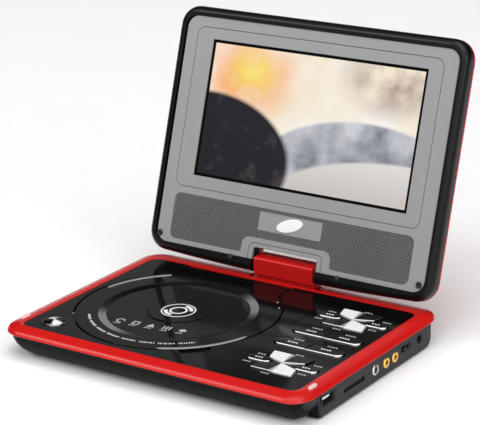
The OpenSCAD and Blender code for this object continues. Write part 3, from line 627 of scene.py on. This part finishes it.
# ---------- base ----------

base_w, base_d, base_r = 250, 183, 17
panel_cy = -4.25
panel_outline = shifted(corners(224.2, 156.2, 7), 0, panel_cy)
port_x, port_top = 123.2, 17
door_r, neck_half, curl_r = 72, 44, 12
curl_x, curl_y = neck_half + curl_r, sqrt((door_r + curl_r) ** 2 - (neck_half + curl_r) ** 2)
notch_at, notch_angle, notch_r = 74, -46, 11


def door_edge(gap, end, notched=False):
    """The door's outline round the disc axis: a circle whose sides curl back into a neck."""
    lean = degrees(atan2(curl_y, curl_x))
    reach = door_r + gap
    points = [(-neck_half - gap, end)] + arc(-curl_x, curl_y, curl_r - gap, 0, -lean)
    if notched:
        near = (reach ** 2 + notch_at ** 2 - notch_r ** 2) / (2 * reach * notch_at)
        half = degrees(atan2(sqrt(1 - near ** 2), near))
        points += arc(0, 0, reach, 180 - lean, 360 + notch_angle - half, 96)[1:]
        # The notch for a fingertip runs the other way, about a point outside the door
        nx, ny = notch_at * cos(radians(notch_angle)), notch_at * sin(radians(notch_angle))
        first, last = points[-1], arc(0, 0, reach, notch_angle + half, 0, 1)[0]
        start, stop = [degrees(atan2(y - ny, x - nx)) for x, y in (first, last)]
        points += arc(nx, ny, notch_r, start, start + (stop - start) % 360, 20)[1:]
        points += arc(0, 0, reach, 360 + notch_angle + half, 360 + lean, 40)[1:]
    else:
        points += arc(0, 0, reach, 180 - lean, 360 + lean, 128)[1:]
    points += arc(curl_x, curl_y, curl_r - gap, 180 + lean, 180)[1:]
    return points + [(neck_half + gap, end)]


def side_key(side, row, gap=0):
    return pill(18.4 + 2 * gap, 7.8 + 2 * gap, pads_x + side * 18.2, row)


def wedge_key(side, row, gap=0):
    points = [(16, 15), (-16, 15), (-13.5, 5.2), (0, 0.6), (13.5, 5.2)]
    points = [(pads_x + side * x, row + side * y) for x, y in points]
    return grown(filleted(points, [1, 1, 1, 0.4, 1], 3), gap)


def bar_key(side, row):
    """Half a long pill, cut off aslant."""
    points = arc(21.75, 0, 5.25, -90, 90, 12) + [(1.2, 5.25), (-0.8, -5.25)]
    return [(pads_x + side * x, row + side * y) for x, y in points]


def share(value, start, end):
    """How far a value has come from start to end, from 0 to 1."""
    return min(max((value - start) / (end - start), 0), 1)


def top_shell():
    # Height and inset: a nose, a crease and a band that rises to the panel
    rim = ((-5.2, 0.9), (-5.05, 0.45), (-4.8, 0.15), (-4.4, 0), (-4, 0.14), (-3.4, 0.52),
           (-2.75, 0.98), (-2.15, 1.45), (-1.95, 1.78), (-2.14, 1.98), (-2.05, 2.2), (-1.75, 2.6),
           (-1.35, 3.6), (-0.9, 4.9), (-0.45, 6.3), (-0.05, 7.6), (0.2, 8.5), (0.3, 9.1))

    def ring(inset, z, r):
        return raised(corners(base_w - 2 * inset, base_d - 2 * inset, r), z)

    rings = [ring(inset, z, max(base_r - inset, 7.3)) for z, inset in rim]
    mouth = ((0.35, 0.3), (0.1, 0.22), (0, 0), (0, -3.4))
    rings += [raised(grown(panel_outline, by), z) for by, z in mouth]
    rings += [ring(2.6, z, base_r - 2.6) for z in (-3.4, -5.2)]
    cuts = [solid(box_outline(62, 20, 0.8, 0, 86.8), low=-1.5, high=6, edge=0)]
    cuts += [solid(turned(pill(9.2, 4.2), 90, x, -69), low=-0.7, high=4, edge=0) for x in (-118, 118)]
    piece("top_shell", carved(skin(rings, closed=True), cuts, edge=0.35, angle=48), "base", "red_shell",
          replaces="top_cover")
    pedestal = solid(box_outline(48.9, 11.9, 1.5, 0, 84), [circle(3.95, 0, 84, 40)], low=-1.45, high=1.75,
                     edge=0.6, steps=3)
    piece("pedestal_block", pedestal, "base", "red_shell", replaces="hinge_pedestal")


def key_holes():
    return ([make(side, row, 0.25) for make in (side_key, wedge_key) for row in pad_rows for side in (-1, 1)]
            + [pill(54.5, 11, pads_x, row) for row in bar_rows])


def panel_deck():
    # The deck opens under the door and its neck
    half, opening_r, neck_end = 44.4, 67.5, 73.8 - disc.y
    reach = degrees(atan2(sqrt(opening_r ** 2 - half ** 2), half))
    opening = [(half, neck_end), (-half, neck_end)] + arc(0, 0, opening_r, 180 - reach, 360 + reach, 120)
    holes = [shifted(opening, disc.x, disc.y), *key_holes(), circle(7.45, button_x, button_y, 48)]
    deck = solid(grown(panel_outline, -0.05), holes, low=-3.35, high=-1.6, edge=0.1, steps=1)
    piece("panel_deck", deck, "base", "gloss_black")


def panel_plate():
    # The door's opening breaks through the panel's back edge, so the outline runs round it
    outer, back = shifted(corners(224, 156, 7), 0, panel_cy), panel_cy + 78
    edge = shifted(door_edge(1.5, 73.75 - disc.y, notched=True), disc.x, disc.y)
    start = next(i for i, p in enumerate(outer) if p[0] < 0)
    loop = outer[:start] + [(x, min(y, back)) for x, y in reversed(edge)] + outer[start:]
    holes = [*key_holes(), circle(9.05, button_x, button_y, 48), box_outline(0.5, 58, 0, 47.45, 44)]
    panel = solid(loop, holes, low=-1.58, high=0, edge=0.22)
    seam = solid(box_outline(0.9, 58.4, 0, 47.45, 44), low=-1.5, high=-0.35, edge=0)
    piece("panel_plate", merged(panel, seam), "base", "gloss_black", replaces="top_panel")


def bottom_case():
    # The socket wall runs further back than the CAD part's and ends in a rounded corner
    tail = filleted([(66, port_top), (73.1, port_top), (73.1, 1.5), (66, 1.5)], [0, 0.4, 6.5, 0], 8)
    tail = moved(solid(tail, low=109, high=port_x, edge=0), ACROSS)
    case = softened("bottom_case", "case_black", "base", width=0.45, angle=42, extra=[tail])
    for vertex in case.data.vertices:
        x, y, z = vertex.co / MM
        # The left wall leans in a little more than the CAD part's, and the back right corner stands
        # further in, behind the end of the socket wall
        vertex.co.x += MM * share(-x, 100, 122) * (1.2 + 2.6 * max(1 - z / port_top, 0))
        corner = share(x, 90, 105) * share(y, 74, 78)
        vertex.co.x -= MM * corner * 2.3
        vertex.co.y -= MM * corner * 1.6


def base_details():
    for name, x in (("left", -118), ("right", 118)):
        pad = solid(turned(pill(8.8, 3.8), 90, x, -69), low=-0.6, high=1.05, edge=0.7, steps=4, crown=0.15)
        piece("rim_pad_" + name, pad, "base", "rim_pad", replaces="rim_pads")
    softened("disc_tray", "case_black", "base", 0.3)
    softened("swivel_bracket", "steel", "base", 0.2)


def door_pieces():
    plate = solid(door_edge(0, 71.8 - disc.y), [circle(56, steps=128)], low=-1.4, high=0, steps=3)
    dish = [(0, -1), (50.2, -1), (50.3, -1.5), (55.9, -1.5), (56, -1.38), (66.5, -1.38), (66.8, -1.5),
            (66.8, -2.4), (66.6, -2.6), (41, -2.6), (40.8, -3), (40.2, -3), (40, -2.6), (8, -2.6),
            (7.8, -2.3), (0, -2.3)]
    lugs = [moved(solid(box_outline(4, 5.2, 0.8), low=-2, high=2),
                  offset(x, 69.8 - disc.y, -3.4) @ RIGHTWARD) for x in (-40, 40)]
    piece("door_lid", merged(plate, lathe(dish, 160), *lugs), "door", "gloss_black", DISC, "disc_door",
          angle=20)
    bevel = [(50.25, -0.98), (50.6, -0.96), (51, -0.9), (55.1, -0.14), (55.6, -0.06), (55.9, -0.1),
             (55.9, -1.45), (50.35, -1.45)]
    # The bevel's base colour carries a painted sheen in sectors round the disc axis
    piece("door_bevel", lathe(bevel, 160, closed=True), "door", "bevel_spun", DISC, None, 25)
    label = [(0, -0.5), (20.4, -0.5), (20.7, -0.54), (21, -0.7), (21.3, -0.55), (21.7, -0.53),
             (22, -0.7), (22.05, -1.2), (0, -1.2)]
    piece("door_centre", lathe(label, 128), "door", "gloss_black", DISC, angle=15)
    for name, start, stop in (("left", 130, 172), ("front", -66, -14)):
        rings = []
        for t in (i / 40 for i in range(41)):
            a = radians(start + (stop - start) * t)
            w = 1.45 * min(1, min(t, 1 - t) * 12 + 0.12) ** 0.5
            section = [(70.3 + w * cos(b), 0.02 + 0.33 * max(sin(b), -0.3))
                       for b in (2 * pi * k / 12 for k in range(12))]
            rings.append([(r * cos(a), r * sin(a), z) for r, z in section])
        piece("door_arc_" + name, skin(rings), "door", "trim_grey", DISC, "door_trim")


# ---------- prints and keys ----------

def flat_print(name, outlines, body, look="print", place=PANEL, high=0.05):
    parts = [solid(o, low=high - 0.06, high=high, edge=0.012, steps=1) for o in outlines]
    piece(name, merged(*parts), body, look, place)


def dash(x, y, w, h, angle=0):
    return turned(box_outline(w, h, min(w, h) * 0.3, steps=2), angle, x, y)


def word(x, y, count, pitch, w, h):
    """A row of dashes with its middle at a place counted from the keys' middle line."""
    return [dash(pads_x + x + pitch * (k - (count - 1) / 2), y, w, h) for k in range(count)]


def sector(inner, outer, start, stop, steps):
    return arc(0, 0, outer, start, stop, steps) + arc(0, 0, inner, stop, start, steps)


def door_prints():
    # Generic words: short dashes of uneven length along an arc near the door's front edge
    rows, at, k, r = [], 219, 0, 62
    while at < 318:
        width, height = ((1.3, 2.1), (1, 1.5), (1.5, 1.9), (0.8, 2.1), (1.4, 1.5), (1.2, 2))[k % 6]
        if k % 8 != 6:
            rows.append(dash(r * cos(radians(at)), r * sin(radians(at)), width * 0.72, height, at - 90))
        at += degrees((width * 0.72 + 0.85) / r)
        k += 1
    flat_print("door_text", rows, "door", place=DISC)
    # A plain sign of rings on the centre
    low, high = -0.5, -0.44
    parts = [lathe([(a, low), (a, high), (b, high), (b, low)], steps, closed=True)
             for a, b, steps in ((5, 6.5, 48), (11.4, 12.4, 64))]
    parts += [solid(sector(7.6, 10.3, start, start + 70, 16), low=low, high=high, edge=0.01, steps=1)
              for start in (20, 200)]
    piece("door_disc_sign", merged(*parts), "door", "print", DISC)
    # Five small generic signs in a row: ring, square, triangle, bars and diamond
    signs = ([sector(1.7, 2.6, 0, 300, 24)],
             [box_outline(4.4, 1, 0.2, 0, y) for y in (1.8, -1.8)]
             + [box_outline(1, 2.2, 0.1, x, 0) for x in (-1.7, 1.7)],
             [filleted([(2.6, -2.2), (0, 2.4), (-2.6, -2.2)], 0.3, 2)],
             [box_outline(1, 4.6, 0.2, x, 0) for x in (-1.9, 0, 1.9)],
             [filleted([(2.6, 0), (0, 2.4), (-2.6, 0), (0, -2.4)], 0.2, 2)])
    first, last = Vector((-58.5 - disc.x, -38.5 - disc.y)), Vector((-10.5 - disc.x, -32.3 - disc.y))
    lean = degrees(atan2(last.y - first.y, last.x - first.x))
    marks = []
    for k, shapes in enumerate(signs):
        x, y = first.lerp(last, k / 4)
        marks += [turned([(1.3 * u, 1.25 * v) for u, v in shape], lean, x, y) for shape in shapes]
        marks.append(dash(x, y - 4.9, 5.6, 0.9, lean))
    flat_print("door_signs", marks, "door", "dull_print", DISC, high=-0.95)


def panel_prints():
    spots = ((-21, 7.6), (2, 18), (22, 8.4), (-2, -18.2), (20, -8.2), (-23, -7.4))
    words = [d for row in pad_rows for x, y in spots for d in word(x, row + y, 3, 2.2, 1.6, 1.5)]
    words += [d for row in bar_rows for x in (-13, 13) for d in word(x, row + 8.2, 4, 2.1, 1.5, 1.4)]
    flat_print("panel_words", words, "base", "dull_print")
    # Small grey marks: print, and a painted highlight on the door
    flat_print("panel_marks_and_painted_highlight", [circle(0.8, 17.2, 43, 16), dash(23.9, 34.6, 3.2, 0.6, -55),
                               dash(-93.7, -46.5, 0.7, 2.2)], "base", "dull_print")


def key_pieces():
    def key(node, look, outline, high, edge, crown=0):
        cap = solid(outline, low=-5, high=high, edge=edge, steps=3, crown=crown)
        piece(node + "_cap", cap, node, look, PANEL, node)

    for where, row in zip(("rear", "front"), pad_rows):
        for side, name in ((-1, "left"), (1, "right")):
            node = f"{where}_pad_{name}_key"
            key(node, "key_edge_painted_highlight", side_key(side, row), 1.15, 0.85, 0.1)
            flat_print(node + "_sign", word(side * 18.2, row, 3, 2.2, 1.3, 1.5), node, high=1.27)
        for side, name in ((-1, "front"), (1, "back")):
            # The wedge keys' base colour carries painted highlights in sectors round each pad's middle
            key(f"{where}_pad_{name}_key", where + "_spun", wedge_key(side, row), 1.2, 0.6)
    for where, row in zip(("rear", "front"), bar_rows):
        for side, name in ((-1, "left"), (1, "right")):
            node = f"{where}_bar_{name}_key"
            key(node, "key_edge_painted_highlight", bar_key(side, row), 1.15, 0.8, 0.08)
            flat_print(node + "_sign", word(side * 13, row, 4, 2.1, 1.4, 1.6), node, high=1.25)


def button_pieces():
    place = PANEL @ offset(button_x, button_y, 0)
    ring = [(7.5, -1.6), (9, -1.6), (9, 0.1), (8.95, 0.4), (8.7, 0.62), (8.3, 0.7), (7.9, 0.62),
            (7.6, 0.4), (7.5, 0.2)]
    piece("open_button_ring", lathe(ring, 72, closed=True), "base", "key_chrome", place, "button_ring")
    cap_r, bowl_r = 7.2, 19.6
    dome = [(0, 2.1)] + [(cap_r * t, 2.1 - bowl_r * (1 - sqrt(1 - (cap_r * t / bowl_r) ** 2)))
                         for t in (0.12, 0.25, 0.4, 0.55, 0.7, 0.82, 0.92, 0.98)]
    dome += [(cap_r, 0.55), (cap_r, -3.9), (8.2, -3.9), (8.2, -4.9), (0, -4.9)]
    # The cap's base colour carries painted highlights in sectors round its middle
    piece("open_button_cap", lathe(dome), "open_button", "button_spun", place, "open_button")


# ---------- sockets and feet ----------

def jack_pieces():
    side = offset(port_x, 0, panel_top - 12) @ RIGHTWARD
    for name, y, bore, look, node in (("headphone", -1.8, 2.5, "silver_jack", "headphone_jack"),
                                      ("av_front", 12.4, 1.8, "gold_jack", "av_jacks"),
                                      ("av_rear", 23.9, 1.8, "gold_jack", "av_jacks")):
        place = side @ offset(0, y, 0)
        ring = [(bore, 0.6), (bore + 0.15, 0.85), (2.9, 0.95), (3.3, 0.8), (3.6, 0.55), (3.75, 0.25),
                (3.75, 0.02), (3.45, 0), (3.45, -13), (bore, -13)]
        piece(name + "_jack_ring", lathe(ring, 48, closed=True), "base", look, place, node)
        back = [(0, -3), (0.8, -3), (bore - 0.01, -2.4), (bore - 0.01, -10.5), (0, -10.5)]
        piece(name + "_jack_floor", lathe(back, 32), "base", "hole_black", place)
    place = side @ offset(0, 57.1, 0)
    barrel = [(2.8, 0.1), (2.95, 0.2), (3.25, 0.2), (3.4, 0.1), (3.45, -0.1), (3.45, -13), (2.8, -13)]
    back = [(0, -9), (2.85, -9), (2.85, -12.5), (0, -12.5)]
    piece("dc_barrel", merged(lathe(barrel, 48, closed=True), lathe(back, 40)), "base", "hole_black", place,
          "dc_inlet")
    pin = [(0, -3.6), (0.35, -3.7), (0.55, -4.1), (0.55, -9.2), (0, -9.2)]
    piece("dc_pin", lathe(pin, 20), "base", "steel", place)


def slot_pieces():
    softened("usb_socket", "hole_black", "base", 0.12)
    softened("card_socket", "steel", "base", 0.15)
    softened("power_switch", "steel", "base", 0.15)
    softened("power_slider", "gloss_black", "power_slider", 0.2)

    def mouth(node):
        """The middle of a socket's outer end, looking to the right, with its height and length."""
        low, high = (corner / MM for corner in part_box(node))
        place = offset(high.x, (low.y + high.y) / 2, (low.z + high.z) / 2) @ RIGHTWARD
        return place, high.z - low.z, high.y - low.y

    place, height, length = mouth("card_socket")
    plug = solid(box_outline(height - 0.6, length - 0.6), low=-3, high=-1.6, edge=0.1)
    piece("card_mouth", plug, "base", "hole_black", place)
    # The socket's tongue and one turned-in side catch the light in the dark opening
    tongue = merged(solid(box_outline(1.5, 8.6, 0.3, 0.9, 0.4), low=-9, high=-0.9, edge=0.2),
                    solid(box_outline(2.2, 0.8, 0.2, 1.4, 4.4), low=-9, high=-0.5, edge=0.1))
    piece("usb_tongue", tongue, "base", "silver_jack", mouth("usb_socket")[0] @ Matrix.Rotation(pi, 4, "Z"))


def foot_pieces():
    foot = [(0, 2.1), (5.4, 2.1), (5.5, 0.9), (5.3, 0.4), (4.9, 0.08), (4.4, 0), (2.2, 0), (1.8, 0.3),
            (0, 0.3)]
    for row, y in (("front", -70), ("back", 74)):
        for name, x in (("left", -84), ("right", 100)):
            piece(f"foot_{row}_{name}", lathe(foot, 40), "base", "rubber", offset(x, y, 0),
                  "rubber_feet")
    screw = [(0, 0), (2.2, 0), (2.6, 0.25), (2.8, 0.7), (2.8, 1.7), (1.15, 1.7), (1.15, 12.6),
             (0.6, 13), (0, 13)]
    spots = ((-66, -73), (-98, 72), (42, -74), (42, 76), (108, 77), (110, -74))
    heads = [moved(cross_head(screw, 32, (3.4, 0.7), -1, 0.8), offset(x, y, 1.8)) for x, y in spots]
    piece("base_screws", merged(*heads), "base", "steel", FLOOR, "case_screws")


def fit_base():
    """Draws the base in on the right and slides the socket wall back, as the photograph has them."""
    slim, slide, drop = 2.6, 3.6, 1.4
    for obj in base_objects:
        points = [vertex.co for vertex in obj.data.vertices]
        socket = min(p.x for p in points) > 100 * MM and max(p.z for p in points) < 20 * MM
        upper = obj.name.startswith(("top_shell", "rim_pad", "panel", "open_button"))
        for p in points:
            x, y, z = p / MM
            p.x -= MM * slim * (1 if socket else share(x, 112.6, 123.6))
            if upper:
                continue
            p.y += MM * slide * (1 if socket else share(x, 107.5, 110)) * share(84 - abs(y), 0, 8)
            if x > 109.5 and -6.5 < y < 28.5 and 5 < z < 17:
                p.z -= MM * drop


# ---------- hinge and screen ----------

def hinge_pieces():
    low, high = -8.4, 5.1
    for name, section in (("front", [(-0.08, high), (-8.1, high), (-8.1, low), (-0.08, low)]),
                          ("rear", [(0.08, low), (7.3, low), (7.3, high), (0.08, high)])):
        block = moved(solid(filleted(section, [0, 1.5, 1.5, 0], 5), low=-24.9, high=24.9, edge=0), ACROSS)
        bores = [rod(2.55, -40, 40, RIGHTWARD), rod(3.55, -20, -3.2, FLOOR)]
        piece(f"hinge_{name}_half", carved(block, bores, edge=0.4, angle=50, steps=3), "neck", "red_shell",
              HINGE, f"hinge_{name}_cover", angle=30)
    softened("swivel_shaft", "steel", "neck", 0.2)
    softened("tilt_axle", "steel", "neck", 0.3)


lid_w, lid_h, lid_r, lid_bow = 241, 185.3, 15, 2.6
lid_front, seam_y, lid_back, lid_low = -8.4, 1.6, 6.6, -8.45
face_low, face_high, face_w = 0.65, 169.6, 228.6
lid_screws = [(x, z) for x in (-106, 106) for z in (-3.2, 173)]
FACE = LID @ UPRIGHT


def lid_form(*rings):
    """A solid through sections of the screen's outline, each given as (depth, inset)."""
    middle = lid_low + lid_h / 2
    return skin([[(x, y, z + middle) for x, z in
                  corners(lid_w - 2 * inset, lid_h - 2 * inset, max(lid_r - inset, 4), lid_bow, 10)]
                 for y, inset in rings])


def upright(outline, front, back):
    """A slab in screen coordinates whose face looks to the front."""
    return moved(solid(outline, low=-back, high=-front, edge=0), UPRIGHT)


def notch_cut(half, top, r=2):
    return upright(filleted([(half, top), (-half, top), (-half, -40), (half, -40)], [r, r, 0, 0]), -30, 30)


def lid_pieces():
    def rounding(end, depth, angles):
        return [(end + depth * (1 - sin(radians(a))), 5 * (1 - cos(radians(a)))) for a in angles]

    def openings():
        return [notch_cut(27, 9.35), rod(3.1, -50, 50, RIGHTWARD)]

    form = lid_form((seam_y - 0.02, 0.25), (seam_y - 0.2, 0.02),
                    *rounding(lid_front, 5.4, (*range(0, 81, 10), 87)))
    cavity = lid_form((seam_y + 2, 1.8), (-4, 1.8), (lid_front + 1.8, 4.4))
    cavity = carved(cavity, [notch_cut(31, 13.35, 3)])
    opening = box_outline(face_w, face_high - face_low, 9, steps=8)
    face_hole = upright(shifted(opening, 0, (face_low + face_high) / 2), -20, -5.75)
    shell = carved(form, [cavity, face_hole, *openings()], edge=0.5, angle=50, steps=3)
    piece("screen_frame", shell, "screen", "satin_black", LID, "screen_bezel", angle=30)

    form = lid_form((seam_y + 0.02, 0.25), (seam_y + 0.25, 0.02),
                    *rounding(lid_back, -4.6, (*range(0, 73, 12), 82)),
                    (lid_back - 0.02, 5.2), (lid_back, 9))
    cavity = lid_form((seam_y - 2, 1.8), (3, 1.8), (lid_back - 1.8, 4.4))
    posts = [rod(3.6, -12, 12, offset(x, 0, z) @ UPRIGHT) for x, z in lid_screws]
    cavity = carved(cavity, [notch_cut(31, 13.35, 3), *posts])
    bore = [(0, -12), (1.3, -12), (1.3, 4.6), (2.4, 4.6), (2.4, 12), (0, 12)]
    bores = [moved(lathe(bore, 32), offset(x, 0, z) @ BACKWARD) for x, z in lid_screws]
    shell = carved(form, [cavity, *openings(), *bores], edge=0.4, angle=50)
    piece("screen_back", shell, "screen", "red_shell", LID, "screen_rear_shell", angle=30)
    screw = [(0, 5.3), (1.7, 5.3), (2.1, 5), (2.3, 4.7), (1, 4.6), (1, -3), (0, -3.2)]
    screws = [moved(cross_head(screw, 28, (2.8, 0.6), 4.8, 8), offset(x, 0, z) @ BACKWARD)
              for x, z in lid_screws]
    piece("screen_screws", merged(*screws), "screen", "steel", LID)


grille = filleted([(101.3, 38.4), (-101.3, 38.4), (-101.3, 4.2), (-37.5, 4.2), (-37.5, 16.4), (37.5, 16.4),
                   (37.5, 4.2), (101.3, 4.2)], [5, 5, 5, 2.5, 6, 6, 2.5, 5], 5)


def display(extra=0):
    """The lit area's outline in screen coordinates, widened by extra."""
    return box_outline(screen_w + extra, screen_h + extra, 0, screen_x, screen_z)


def face_pieces():
    low, high, half = face_low + 0.1, face_high - 0.1, face_w / 2 - 0.1
    left = 1.6 - half
    body = filleted([(half, high), (left, high), (left, low), (-31.2, low), (-31.2, 12.8), (31.2, 12.8),
                     (31.2, low), (half, low)], [9, 9, 9, 0.3, 4.5, 4.5, 0.3, 9], 6)
    window = box_outline(206.2, 118.6, 6.5, 0, 102.85, 6)
    around = filleted([(30.85, low), (30.85, 12.45), (-30.85, 12.45), (-30.85, low), (-27.3, low),
                       (-27.3, 9.65), (27.3, 9.65), (27.3, low)],
                      [0.3, 4.2, 4.2, 0.3, 0.3, 2.2, 2.2, 0.3], 5)
    dots = [circle(1.7, x, 6.4, 24) for x in (-110, 110)]
    plates = [solid(outer, holes, low=5.8, high=7.7, edge=0.16) for outer, holes in
              ((body, [window, grille] + dots), (grown(window, -0.38), [display()]), (around, []))]
    island = solid(box_outline(53, 13.4, 0.6, 0.6, 29), low=6.6, high=7.7, edge=0.12)
    piece("face_plate", merged(*plates, island), "screen", "face_grey", FACE, "face_panel")
    cones = [circle(19, x, 21, 48) for x in (-66, 66)]
    sheet = solid(grown(body, -0.6), [display(5), *cones], low=5.1, high=5.72, edge=0.05, steps=1)
    piece("face_sheet", sheet, "screen", "hole_black", FACE)


def speaker_mesh():
    """Perforated sheet: squares on their points, each with an eight-sided hole."""
    bm, corners_made = bmesh.new(), {}
    step, hole_r, top, deep = 1.15, 0.74, 7.58, 6.9

    def shared(x, z):
        key = (round(x, 3), round(z, 3))
        if key not in corners_made:
            corners_made[key] = bm.verts.new((x, z, top))
        return corners_made[key]

    for i, j in ((i, j) for i in range(-89, 90) for j in range(3, 35) if (i + j) % 2 == 0):
        x, z = i * step, j * step
        beside_hinge = abs(x) < 35.6 and z < 14.6
        under_badge = abs(x - 0.6) < 25.4 and abs(z - 29) < 5.6
        if not (abs(x) < 102.4 and 3.2 < z < 39.5) or beside_hinge or under_badge:
            continue
        hole = circle(hole_r, x, z, 8)
        outer = [shared(*p) for p in ((x + step, z), (x, z + step), (x - step, z), (x, z - step))]
        ring, under = ring_of(bm, raised(hole, top)), ring_of(bm, raised(hole, deep))
        for k in range(4):
            edge = (outer[k], outer[(k + 1) % 4])
            bm.faces.new((*edge, ring[(2 * k + 2) % 8], ring[2 * k + 1], ring[2 * k]))
        band(bm, ring, under)
    piece("speaker_mesh", bm, "screen", "mesh_grey", FACE)


def speaker_pieces():
    speaker_mesh()
    backing = solid(grown(grille, 1.2), [circle(17, x, 21, 48) for x in (-66, 66)], low=6.2, high=6.75,
                    edge=0.05, steps=1)
    piece("mesh_backing", backing, "screen", "mesh_dim", FACE)
    cone = [(0, 3.4), (3, 3.2), (4, 2.6), (10.5, 5), (12.2, 5.5), (13.4, 5.2), (13.9, 5.6),
            (18.5, 5.6), (18.5, 5), (14, 4.4), (8, 0), (0, 0)]
    piece("speaker_fronts", merged(*[lathe(cone, 48, cx=x, cy=21) for x in (-66, 66)]), "screen",
          "speaker_cone", FACE)


def display_pieces():
    border = solid(display(3), [display(-4.4)], low=6, high=6.9, edge=0.1, steps=1)
    piece("display_mask", border, "screen", "gloss_black", FACE)
    glass = solid(display(4), low=5, high=6.6, edge=0.05, steps=1)
    piece("display_glass", glass, "screen", "screen_glass", FACE, "lcd_panel")
    oval = [(11 * cos(2 * pi * k / 48), 4.6 * sin(2 * pi * k / 48)) for k in range(48)]
    oval = turned(oval, 17, 0.5, 29.1)
    piece("oval_badge", solid(oval, low=7.6, high=8.25, steps=3, crown=0.1), "screen", "badge_white", FACE,
          "badge")
    dimpled = [(0, 8.2), (0.7, 8.25), (0.95, 8.7), (1.4, 8.95), (1.9, 8.85), (2.25, 8.4), (2.4, 7.7),
               (1.65, 7.65), (1.6, 5.9), (0, 5.9)]
    small = [(0, 8.8), (1.2, 8.7), (2, 8.3), (2.4, 7.6), (2.5, 6.2), (0, 6.2)]
    for side, name in ((-1, "left"), (1, "right")):
        piece("bumper_" + name, lathe(dimpled, 40, cx=side * 110, cy=6.4), "screen", "rubber", FACE,
              "screen_bumpers")
        piece("small_bumper_" + name, lathe(small, 32, cx=side * 45.5, cy=-1), "screen", "rubber", FACE)


def inner_pieces():
    softened("turntable", "gloss_black", "hub")
    softened("laser_sled", "case_black", "sled")
    lens = [(0, 2.3), (0.8, 2.2), (1.5, 1.9), (2.1, 1.3), (2.3, 0.6), (2.3, 0), (0, 0)]
    piece("laser_lens", lathe(lens, 32), "sled", "lens", DISC @ offset(24, 0, -10.9))
    softened("spindle_motor", "steel", "base", 0.3)
    softened("feed_motor", "steel", "base", 0.3)
    softened("mech_chassis", "steel", "base", 0.15)
    softened("battery_pack", "battery_wrap", "base", 0.8)
    softened("main_board", "circuit_board", "base", 0.1)
    softened("tilt_brackets", "steel", "screen", 0.2)
    softened("shaft_clip", "steel", "neck", 0.15)


def ground():
    rings = [(r, 0) for r in (0, 0.5, 1.2, 3, 7, 14)] + [(14, -0.05), (0, -0.05)]
    mesh = mesh_of("floor", lathe(rings, 72))
    mesh.materials.append(looks["backdrop"])
    linked("floor", mesh)


for part in frame["record"]["subparts"]:
    node = frame["nodes"][part["node"]]
    node.data.materials.clear()
    node.data.materials.append(looks[part["material_slot"]])

top_shell()
panel_deck()
bottom_case()
panel_plate()
base_details()
door_pieces()
door_prints()
panel_prints()
key_pieces()
button_pieces()
jack_pieces()
slot_pieces()
foot_pieces()
hinge_pieces()
lid_pieces()
face_pieces()
speaker_pieces()
display_pieces()
inner_pieces()
fit_base()
ground()
camera()
studio()
soft_light("overhead", (0.3, -0.3, 2.4), 2, 24)
soft_light("front_left", (-1.65, -1.65, 2), 1.1, 20)
soft_light("side_fill", (2.6, -0.9, 1.2), 1.2, 13)
soft_light("back_left", (-1.7, 2.1, 0.85), 1.2, 1.5)
